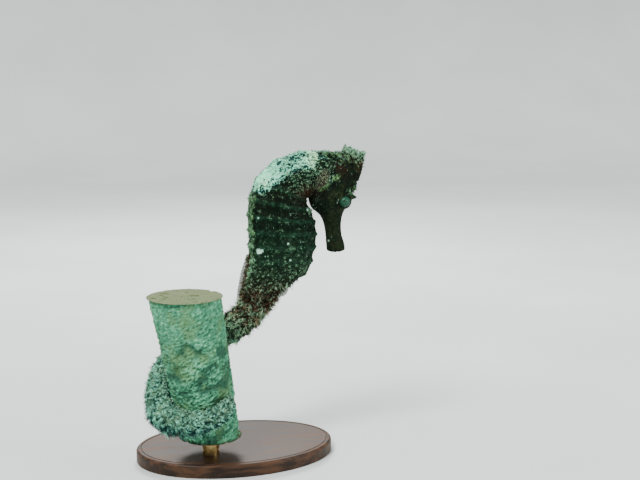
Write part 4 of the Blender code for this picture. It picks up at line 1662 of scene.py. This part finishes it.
@dataclass(frozen=True)
class Tuft:
    """A small bunch of tapering filaments on one root, a millimetre long before it is scaled."""

    filaments: int = 4
    thickness: float = 0.055
    spread: float = 0.42
    bend: float = 0.25
    seed: int = 1
    elbow: float = 0.55
    sunk: float = 0.08
    taper: float = 0.35
    tip_height: float = 0.92

    def _filament(self, rng: np.random.Generator, number: int) -> Array:
        """The seven points of one filament: three at its root, three at its elbow and the tip."""
        turn = 2 * math.pi * (number + rng.uniform(-0.3, 0.3)) / self.filaments
        out = np.array((math.cos(turn), math.sin(turn), 0))
        reach = rng.uniform(0.65, 1.0)
        sag = np.array((self.bend, 0, 0)) * rng.uniform(0.4, 1.3)
        corner = np.arange(3)[:, None] * 2 * math.pi / 3 + turn
        circle = np.hstack([np.cos(corner), np.sin(corner), 0 * corner])
        rows = []
        for level in (0.0, self.elbow):
            up = np.array((0, 0, level * reach - self.sunk))
            ring = circle * self.thickness * (1 - self.taper * level)
            rows.append(out * self.spread * level * reach + sag * level**2 + up + ring)
        return np.vstack(rows + [out * self.spread * reach + sag + np.array((0, 0, reach * self.tip_height))])

    def build(self, name: str) -> Object:
        """Makes the tuft, with tip (0 to 1 along it) and a map named patch that fills the unit square."""
        rng = np.random.default_rng(self.seed)
        sides = [(j, (j + 1) % 3, 3 + (j + 1) % 3, 3 + j) for j in range(3)]
        points = [(3 + j, 3 + (j + 1) % 3, 6) for j in range(3)]
        parts = MeshParts()
        for number in range(self.filaments):
            parts.add(self._filament(rng, number), sides + points + [(2, 1, 0)])
        obj = parts.object(name)
        store(obj.data, tip=np.array(([0.0] * 3 + [self.elbow] * 3 + [1.0]) * self.filaments))
        layer = obj.data.uv_layers.new(name="patch")
        for loop, corner in zip(obj.data.loops, layer.data):
            place = obj.data.vertices[loop.vertex_index].co / MM
            corner.uv = (0.5 + 0.4 * max(-1, min(1, place.x + place.y)), max(0.0, min(1.0, place.z)))
        return obj


@dataclass(frozen=True)
class CoatPatch:
    """One region of the coat: where it grows, how dense and long it is, and how far it stands up."""

    name: str
    mask: str
    per_square_mm: float
    length: float
    stand: float
    jitter: float
    tip_gain: float
    tip_colour: Colour
    tuft: Tuft
    seed: int


class TuftTree:
    """The Geometry Nodes tree that grows one region: points, a turned tuft on each, a plain mesh, its map."""

    patch_size = 0.003
    map_border = 0.004
    tone_seed_step = 7
    least_size, most_size = 0.55, 1.2
    sockets = {"Geometry": "Geometry", "Tuft": "Object", "Mask": "String"}
    sockets |= {"Density": "Float", "Length": "Float", "Stand": "Float", "Jitter": "Float"}
    sockets |= {"Seed": "Int", "Finish": "Material"}

    def __init__(self, length: float) -> None:
        """Starts the tree for a body of this length."""
        self.length = length
        out = {"Geometry": "Geometry"}
        self.tree, given, self.result = new_group("tufts", self.sockets, out, "GeometryNodeTree")
        self.tree.tree.is_modifier = True
        self.get = given.outputs

    def _attribute(self, name: object, kind: str = "FLOAT") -> Socket:
        """A named attribute's value."""
        return self.tree.add("GeometryNodeInputNamedAttribute", {"Name": name}, data_type=kind).outputs[0]

    def _random(self, low: float, high: float, seed: Socket) -> Socket:
        """A random number for each point."""
        inputs = {2: low, 3: high, "Seed": seed}
        return self.tree.add("FunctionNodeRandomValue", inputs, data_type="FLOAT").outputs[1]

    def _points(self) -> Node:
        """Points on the skin, as dense as the region's mask says."""
        density = self.tree.times(self._attribute(self.get["Mask"]), self.get["Density"])
        inputs = {"Mesh": self.get["Geometry"], "Density": density, "Seed": self.get["Seed"]}
        return self.tree.add("GeometryNodeDistributePointsOnFaces", inputs, distribute_method="RANDOM")

    def _rotation(self, normal: Socket) -> Socket:
        """Each tuft's turn: leaning with the coat, standing up by Stand, shaken by Jitter, spun at random."""
        tree, get = self.tree, self.get
        lift = tree.grown(normal, get["Stand"])
        ranges = {0: (-1, -1, -1), 1: (1, 1, 1), "Seed": get["Seed"]}
        shake = tree.add("FunctionNodeRandomValue", ranges, data_type="FLOAT_VECTOR").outputs[0]
        lean = tree.vector("ADD", lift, self._attribute("lie", "FLOAT_VECTOR"))
        lean = tree.vector("ADD", lean, tree.grown(shake, get["Jitter"]))
        turned = tree.add("FunctionNodeAlignRotationToVector", {"Vector": lean}, axis="Z")
        spin = tree.joined(Z=self._random(0.0, 6.283, get["Seed"]))
        inputs = {0: turned.outputs[0], 1: spin}
        return tree.add("FunctionNodeRotateRotation", inputs, rotation_space="LOCAL").outputs[0]

    def _tufts(self) -> Socket:
        """The region's tufts as one real mesh, each with a random tone named shade."""
        tree, get = self.tree, self.get
        points = self._points()
        tone = self._random(0.0, 1.0, tree.plus(get["Seed"], self.tone_seed_step))
        toned = tree.add(
            "GeometryNodeStoreNamedAttribute",
            {"Geometry": points.outputs["Points"], "Name": "shade", "Value": tone},
            data_type="FLOAT",
            domain="POINT",
        )
        length = tree.times(get["Length"], self._attribute("growth"))
        size = self._random(self.least_size, self.most_size, get["Seed"])
        tuft = tree.add("GeometryNodeObjectInfo", {"Object": get["Tuft"]}, transform_space="ORIGINAL")
        inputs = {
            "Points": toned.outputs[0],
            "Instance": tuft.outputs["Geometry"],
            "Rotation": self._rotation(points.outputs["Normal"]),
            "Scale": tree.times(size, length),
        }
        grown = tree.add("GeometryNodeInstanceOnPoints", inputs)
        return tree.add("GeometryNodeRealizeInstances", {"Geometry": grown.outputs[0]}).outputs[0]

    def _map_place(self) -> Socket:
        """Each corner's place on the map: its tuft's root on the unrolled body, and its own small patch."""
        tree = self.tree
        straight = tree.add("ShaderNodeSeparateXYZ", {0: self._attribute("straight", "FLOAT_VECTOR")})
        inner = 1 - 2 * self.map_border
        root_u = tree.plus(tree.times(straight.outputs[0], inner / self.length), self.map_border)
        turn = tree.math("ARCTAN2", straight.outputs[1], straight.outputs[2])
        root_v = tree.plus(tree.times(turn, inner / (2 * math.pi)), 0.5)
        patch = tree.vector("SUBTRACT", self._attribute("patch", "FLOAT_VECTOR"), (0.5, 0.5, 0.0))
        patch = tree.stretched(patch, (self.patch_size, self.patch_size, 0))
        return tree.vector("ADD", tree.joined(X=root_u, Y=root_v), patch)

    def build(self) -> NodeTree:
        """Finishes the tree."""
        tree = self.tree
        mapped = tree.add(
            "GeometryNodeStoreNamedAttribute",
            {"Geometry": self._tufts(), "Name": "OFBake", "Value": self._map_place()},
            data_type="FLOAT2",
            domain="CORNER",
        )
        clean = tree.add("GeometryNodeRemoveAttribute", {"Geometry": mapped.outputs[0], "Name": "patch"})
        inputs = {"Geometry": clean.outputs[0], "Material": self.get["Finish"]}
        tree.feed(self.result, {"Geometry": tree.add("GeometryNodeSetMaterial", inputs).outputs[0]})
        return tree.tree


@dataclass
class Coat:
    """Grows tufts on the skin with Geometry Nodes and turns each region into one plain mesh."""

    skin: Object
    length: float
    markings: NodeTree

    def __post_init__(self) -> None:
        """Builds the tree that the regions share."""
        self.tree = TuftTree(self.length).build()

    def grow(self, patch: CoatPatch) -> Object:
        """Grows one region."""
        tuft = patch.tuft.build(patch.name + "_tuft")
        holder = placed(patch.name, self.skin.data.copy())
        modifier = holder.modifiers.new("tufts", "NODES")
        modifier.node_group = self.tree
        values = {
            "Tuft": tuft,
            "Mask": patch.mask,
            "Density": patch.per_square_mm / MM**2,
            "Length": patch.length,
            "Stand": patch.stand,
            "Jitter": patch.jitter,
            "Seed": patch.seed,
            "Finish": CoatFinish(self.markings, patch.name, patch.tip_gain, patch.tip_colour).build(),
        }
        for socket in self.tree.interface.items_tree:
            if socket.item_type == "SOCKET" and socket.in_out == "INPUT" and socket.name in values:
                modifier[socket.identifier] = values[socket.name]
        obj = applied(holder, patch.name)
        bpy.data.objects.remove(tuft)
        obj.data.shade_smooth()
        return dress(obj, Slot.SKIN, None)


# ---- eyes and fins


@dataclass
class Eye:
    """One eyeball, with a clear bulge in front of its pupil."""

    side: Side
    place: EyePlace
    bulge: float = 0.05
    bulge_width: float = 0.55
    # sight also sets where the rim's painted socket shade shows
    sight: Pair = (-0.36, 0.26)
    rows: int = 40
    columns: int = 64

    def build(self, finish: Material) -> Object:
        """Makes the ball, with gaze, its own direction from the sight line, on each point."""
        sight = unit(np.array((self.sight[0], float(self.side.value), self.sight[1])))
        across = unit(np.cross((0, 0, 1.0), sight))
        above = np.cross(sight, across)
        polar = np.linspace(0.02, math.pi - 0.02, self.rows)[:, None]
        gaze = ball_directions(polar, one_turn(self.columns))
        reach = self.place.radius * (1 + self.bulge * bump(polar, 0, self.bulge_width))[..., None]
        ball = (gaze[..., :1] * across + gaze[..., 1:2] * above + gaze[..., 2:] * sight) * reach
        parts = MeshParts()
        parts.tube(self.place.centre + ball)
        node = f"eye_{self.side.label}"
        obj = parts.object(node + "_ball")
        store(obj.data, gaze=gaze.reshape(-1, 3))
        return dress(obj, Slot.EYE, finish, node)


@dataclass
class Fin:
    """A thin fin between a base line on the body and a free edge, with rays and a slight ripple."""

    node: str
    base: Array
    edge: Array
    out: Array
    rays: int
    membrane: float = 0.16
    ray_thickness: float = 0.34
    ripple: float = 0.18
    waves: float = 2.5
    warm: float = 1.0
    scallop: float = 0.05
    columns_per_ray: int = 8
    rows: int = 16

    def build(self, finish: Material) -> Object:
        """Makes the fin as one closed sheet, thicker on its rays."""
        columns = self.rays * self.columns_per_ray + 1
        t = np.linspace(0, 1, columns)
        keys = np.linspace(0, 1, len(self.base))
        base, free = bend_through(keys, self.base, t), bend_through(keys, self.edge, t)
        ray = np.maximum(0, np.cos(2 * math.pi * self.rays * t)) ** 5
        rise = np.linspace(0, 1, self.rows)[:, None]
        scallop = 1 + self.scallop * (ray - 0.5) * smooth_step(rise, 0.6, 1.0)
        sheet = base + (free - base) * (rise * scallop)[..., None]
        wave = self.ripple * np.sin(2 * math.pi * self.waves * t + 3.0 * rise) * rise
        sheet = sheet + self.out * wave[..., None]
        thick = (self.membrane + (self.ray_thickness - self.membrane) * ray) * (1 - 0.65 * rise)
        front, rear = sheet + self.out * thick[..., None] / 2, sheet - self.out * thick[..., None] / 2
        parts = MeshParts()
        parts.tube(np.concatenate([front, rear[:, ::-1]], axis=1))
        obj = parts.object(self.node + "_rays")
        rays = np.tile(ray, (self.rows, 1))
        store(
            obj.data,
            ray=np.concatenate([rays, rays[:, ::-1]], axis=1).ravel(),
            rise=np.tile(rise, (1, 2 * columns)).ravel(),
            straight=coordinates(obj.data),
            warm=np.full(2 * self.rows * columns, self.warm),
        )
        return dress(obj, Slot.FIN, finish, self.node)


@dataclass
class Fins:
    """All four fins, set on the body's own outlines."""

    plan: BodyPlan
    dorsal_rings: tuple[int, int] = (-3, 1)
    dorsal_places: int = 13
    dorsal_root: float = 0.9
    dorsal_height: float = 1.9
    dorsal_slope: float = 0.35
    dorsal_rays: int = 14
    anal_rays: int = 4
    pectoral_rays: int = 11

    def _fan(self, root: Point, first: Point, last: Point, reaches: tuple, width: float) -> list[Array]:
        """Base and free edge of a fan whose rays turn from direction first to last."""
        share = np.linspace(0, 1, len(reaches))[:, None]
        ahead, behind = unit(np.array(first, float)), unit(np.array(last, float))
        base = np.array(root) + unit(ahead - behind) * width * (0.5 - share)
        return [base, base + unit(ahead * (1 - share) + behind * share) * np.array(reaches)[:, None]]

    def _dorsal(self) -> Fin:
        """The fin on the back, over the last rings of the trunk."""
        plan, count = self.plan, self.dorsal_places
        start, end = (plan.ring_ends[plan.trunk_rings + step] for step in self.dorsal_rings)
        places, back_edges = np.linspace(start, end, count), np.array([3.0, 4.0])
        back = plan.surface(places, back_edges, np.zeros((count, 2))).mean(axis=1)
        deep = plan.surface(places, back_edges, np.full((count, 2), self.dorsal_root)).mean(axis=1)
        away, slope = unit(back - deep), unit(np.gradient(back, axis=0))
        share = np.linspace(0, 1, count)[:, None]
        height = self.dorsal_height * np.sin(math.pi * (0.12 + 0.80 * share)) ** 0.6
        edge = back + (away + self.dorsal_slope * slope) * height
        return Fin("dorsal_fin", deep, edge, ACROSS, self.dorsal_rays, ripple=0.22)

    def _anal(self) -> Fin:
        """The tiny fin behind the vent."""
        root, reaches = (15.9, self.plan.plane, 49.7), (2.1, 2.5, 2.6, 2.3)
        lines = self._fan(root, (1, 0, -0.1), (0.1, 0, -1), reaches, 1.2)
        return Fin("anal_fin", *lines, ACROSS, self.anal_rays, ripple=0.08)

    def _pectoral(self, side: Side) -> Fin:
        """The folded fin behind a gill cover."""
        sign = side.value
        root, reaches = (29.9, self.plan.plane + sign * 4.0, 83.0), (3.4, 4.0, 4.3, 4.4, 4.2, 3.6)
        lines = self._fan(root, (-0.35, sign * 0.35, 1), (-1, sign * 0.35, -0.35), reaches, 2.6)
        out = unit(np.array((0.3, sign, 0.3)))
        return Fin(f"pectoral_fin_{side.label}", *lines, out, self.pectoral_rays, ripple=0.14, warm=0.15)

    def build(self, finish: Material) -> list[Object]:
        """Makes the dorsal, anal and both pectoral fins."""
        made = [self._dorsal(), self._anal()] + [self._pectoral(side) for side in Side]
        return [fin.build(finish) for fin in made]


# ---- stand and studio


@dataclass
class DisplayStand:
    """The oval wooden base and the brass rod, sized by their solids' boxes.

    Foot and groove are rows of height and inset, the groove's from the top face and the bevel. The rod's are
    rows of height above its foot and share of its radius.
    """

    bevel: float = 0.8
    bevel_rows: int = 7
    corners: int = 160
    crease: float = math.radians(38)
    foot: Pairs = ((0.0, 3.0), (0.0, 0.4), (0.12, 0.12), (0.4, 0.0))
    groove: Pairs = ((0.0, 0.35), (-0.18, 0.5), (-0.18, 0.75), (0.0, 0.9), (0.0, 6.0))
    rod_foot: Pairs = ((-0.3, 1.0), (0.9, 1.0), (1.05, 0.92), (1.25, 0.92), (1.4, 1.0))
    rod_overlap: float = 0.3

    def _turned(self, name: str, rows: list[Array]) -> Object:
        """A closed object through rows of points, sharp where it turns hard."""
        parts = MeshParts()
        parts.tube(np.array(rows))
        obj = parts.object(name)
        obj.data.set_sharp_from_angle(angle=self.crease)
        return obj

    def _oval(self) -> Array:
        """A circle of radius 1 round Z."""
        angle = one_turn(self.corners)[:, None]
        return np.hstack([np.cos(angle), np.sin(angle), 0 * angle])

    def _base(self) -> Object:
        """The oval base: a foot, a round bevel and a fine groove inside it."""
        low, high = solid_box("stand_base")
        middle, half = (low + high) / 2, (high - low) / 2
        turn = np.linspace(0, math.pi / 2, self.bevel_rows)
        profile = [(low[2] + rise, inset) for rise, inset in self.foot]
        profile += [(high[2] - self.bevel * (1 - math.sin(t)), self.bevel * (1 - math.cos(t))) for t in turn]
        profile += [(high[2] + rise, self.bevel + inset) for rise, inset in self.groove]
        profile.append((high[2], min(half[:2]) - 0.5))
        oval, centre = self._oval(), middle[:2]
        rows = [oval * (*(half[:2] - inset), 0) + (*centre, height) for height, inset in profile]
        return self._turned("stand_base_wood", rows)

    def _rod(self) -> Object:
        """The round rod, with one turned groove, its top sunk in the sponge."""
        low, high = solid_box("stand_rod")
        middle, radius = (low + high) / 2, (high[0] - low[0]) / 2
        circle = self._oval()[::4] * radius
        profile = [(low[2] + rise, share) for rise, share in self.rod_foot]
        profile.append((high[2] + self.rod_overlap, 1.0))
        rows = [circle * share + (*middle[:2], height) for height, share in profile]
        return self._turned("stand_rod_brass", rows)

    def build(self, wood: Material, brass: Material) -> list[Object]:
        """Makes both pieces."""
        base, rod = self._base(), self._rod()
        return [dress(base, Slot.WOOD, wood, "stand_base"), dress(rod, Slot.METAL, brass, "stand_rod")]


@dataclass(frozen=True)
class FloorFinish(Finish):
    """A pale, faintly clouded sweep."""

    name = "studio_floor"
    dark: Colour = (0.56, 0.60, 0.58, 1)
    light: Colour = (0.61, 0.64, 0.62, 1)
    clouds: Texture = Texture(9.0, 3)

    def looks(self, tree: Tree) -> dict:
        """Its two faint tones."""
        tone = tree.ramp(tree.noise(tree.own_place(), self.clouds), 0.3, 0.7)
        return {"Base Color": tree.mix(tone, self.dark, self.light), "Roughness": 0.8}


@dataclass
class Studio:
    """Floor, light and camera. The camera looks at target and takes in field_width there."""

    azimuth: float = math.radians(-15)
    elevation: float = math.radians(9)
    distance: float = 330.0
    field_width: float = 198.4
    sensor_width: float = 36.0
    target: Point = (28.5, 6.0, 64.35)
    floor_half_width: float = 2600.0
    floor_half_depth: float = 900.0
    sweep: float = 400.0
    wall_height: float = 2200.0
    sky: Colour = (0.82, 0.92, 0.90, 1)
    sky_strength: float = 0.38

    def build(self) -> None:
        """Sets the pale sweep, three soft lights and the camera."""
        self._floor()
        self._sun("key", (-0.50, -0.42, 0.95), 22, 4.4)
        self._light("fill", (420, -300, 260), 320, 2.0)
        self._light("rim", (60, 420, 420), 220, 4.2)
        self._world()
        self._camera()

    def _floor(self) -> None:
        """A pale floor that curves up behind the model."""
        width, depth, sweep = self.floor_half_width, self.floor_half_depth, self.sweep
        turn = np.linspace(0, math.pi / 2, 16)
        profile = [(-depth, 0.0), (0.0, 0.0)]
        profile += [(depth + sweep * math.sin(t), sweep * (1 - math.cos(t))) for t in turn]
        profile.append((depth + sweep, self.wall_height))
        points = [(x, y, z) for y, z in profile for x in (-width, width)]
        parts = MeshParts()
        faces = [(i, i + 1, i + 3, i + 2) for i in range(0, len(points) - 2, 2)]
        parts.add(np.array(points), faces)
        floor = parts.object("studio_floor")
        floor.data.materials.append(FloorFinish().build())

    def _sun(self, name: str, direction: Point, spread: float, strength: float) -> None:
        """A broad light from far away, spread in degrees across."""
        data = bpy.data.lights.new(name, "SUN")
        data.angle, data.energy = math.radians(spread), strength
        placed(name, data).rotation_euler = (-Vector(direction)).to_track_quat("-Z", "Y").to_euler()

    def _light(self, name: str, place: Point, size: float, power: float) -> None:
        """A square soft light that faces the model, its place and size in millimetres."""
        data = bpy.data.lights.new(name, "AREA")
        data.size, data.energy = size * MM, power
        light = placed(name, data)
        light.location = Vector(place) * MM
        light.rotation_euler = (Vector(self.target) * MM - light.location).to_track_quat("-Z", "Y").to_euler()

    def _world(self) -> None:
        """Even light from all round."""
        world = bpy.data.worlds.new("studio")
        world.use_nodes = True
        background = world.node_tree.nodes["Background"]
        Tree(world.node_tree).feed(background, {"Color": self.sky, "Strength": self.sky_strength})
        bpy.context.scene.world = world

    def _camera(self) -> None:
        """A camera at a fixed angle and distance from the model."""
        level = math.cos(self.elevation)
        across, behind = math.sin(self.azimuth) * level, -math.cos(self.azimuth) * level
        back = Vector((across, behind, math.sin(self.elevation)))
        data = bpy.data.cameras.new("camera")
        data.sensor_width = self.sensor_width
        data.lens = data.sensor_width * self.distance / self.field_width
        data.clip_start = 0.01
        camera = placed("camera", data)
        camera.location = (Vector(self.target) + back * self.distance) * MM
        camera.rotation_euler = (-back).to_track_quat("-Z", "Y").to_euler()
        bpy.context.scene.camera = camera


CREAM, ICE, PALE = (0.58, 0.90, 0.58, 1), (0.38, 0.98, 0.72, 1), (0.48, 0.98, 0.72, 1)
COAT = (
    CoatPatch("coat_tail", "on_tail", 3.4, 1.90, 0.28, 0.75, 2.7, CREAM, Tuft(3, 0.042, 0.24, 0.55, 3), 11),
    CoatPatch("coat_ring", "on_ring", 3.8, 1.85, 0.25, 0.65, 2.9, ICE, Tuft(3, 0.042, 0.24, 0.55, 4), 12),
    CoatPatch("coat_crown", "on_crown", 4.5, 0.95, 0.85, 0.75, 2.3, PALE, Tuft(4, 0.055, 0.36, 0.50, 5), 13),
    CoatPatch("coat_saddle", "on_saddle", 3.0, 0.75, 0.35, 0.60, 1.0, PALE, Tuft(3, 0.065, 0.30, 0.5, 6), 14),
    CoatPatch("coat_flank", "on_flank", 1.8, 0.70, 0.30, 0.45, 0.45, PALE, Tuft(3, 0.055, 0.35, 0.5, 7), 15),
    CoatPatch("coat_face", "on_face", 2.2, 0.34, 0.40, 0.30, 0.25, PALE, Tuft(3, 0.035, 0.40, 0.3, 8), 16),
)


def main() -> None:
    """Builds every piece in order."""
    logging.basicConfig(level=logging.INFO, format="%(name)s: %(message)s")
    Studio().build()
    markings, grain = Markings().build(), GrainGroup().build()
    finger = SpongeFinger()
    finger.build(SpongeFinish(grain).build())
    DisplayStand().build(WoodFinish().build(), BrassFinish().build())
    plan = BodyPlan(perch=finger)
    hide = Skin(plan)
    skin = hide.build(SkinFinish(markings, grain).build())
    eye_finish = EyeFinish().build()
    for side, place in hide.eyes.items():
        Eye(side, place).build(eye_finish)
    Fins(plan).build(FinFinish().build())
    coat = Coat(skin, plan.end, markings)
    for patch in COAT:
        coat.grow(patch)


if __name__ == "__main__":
    main()
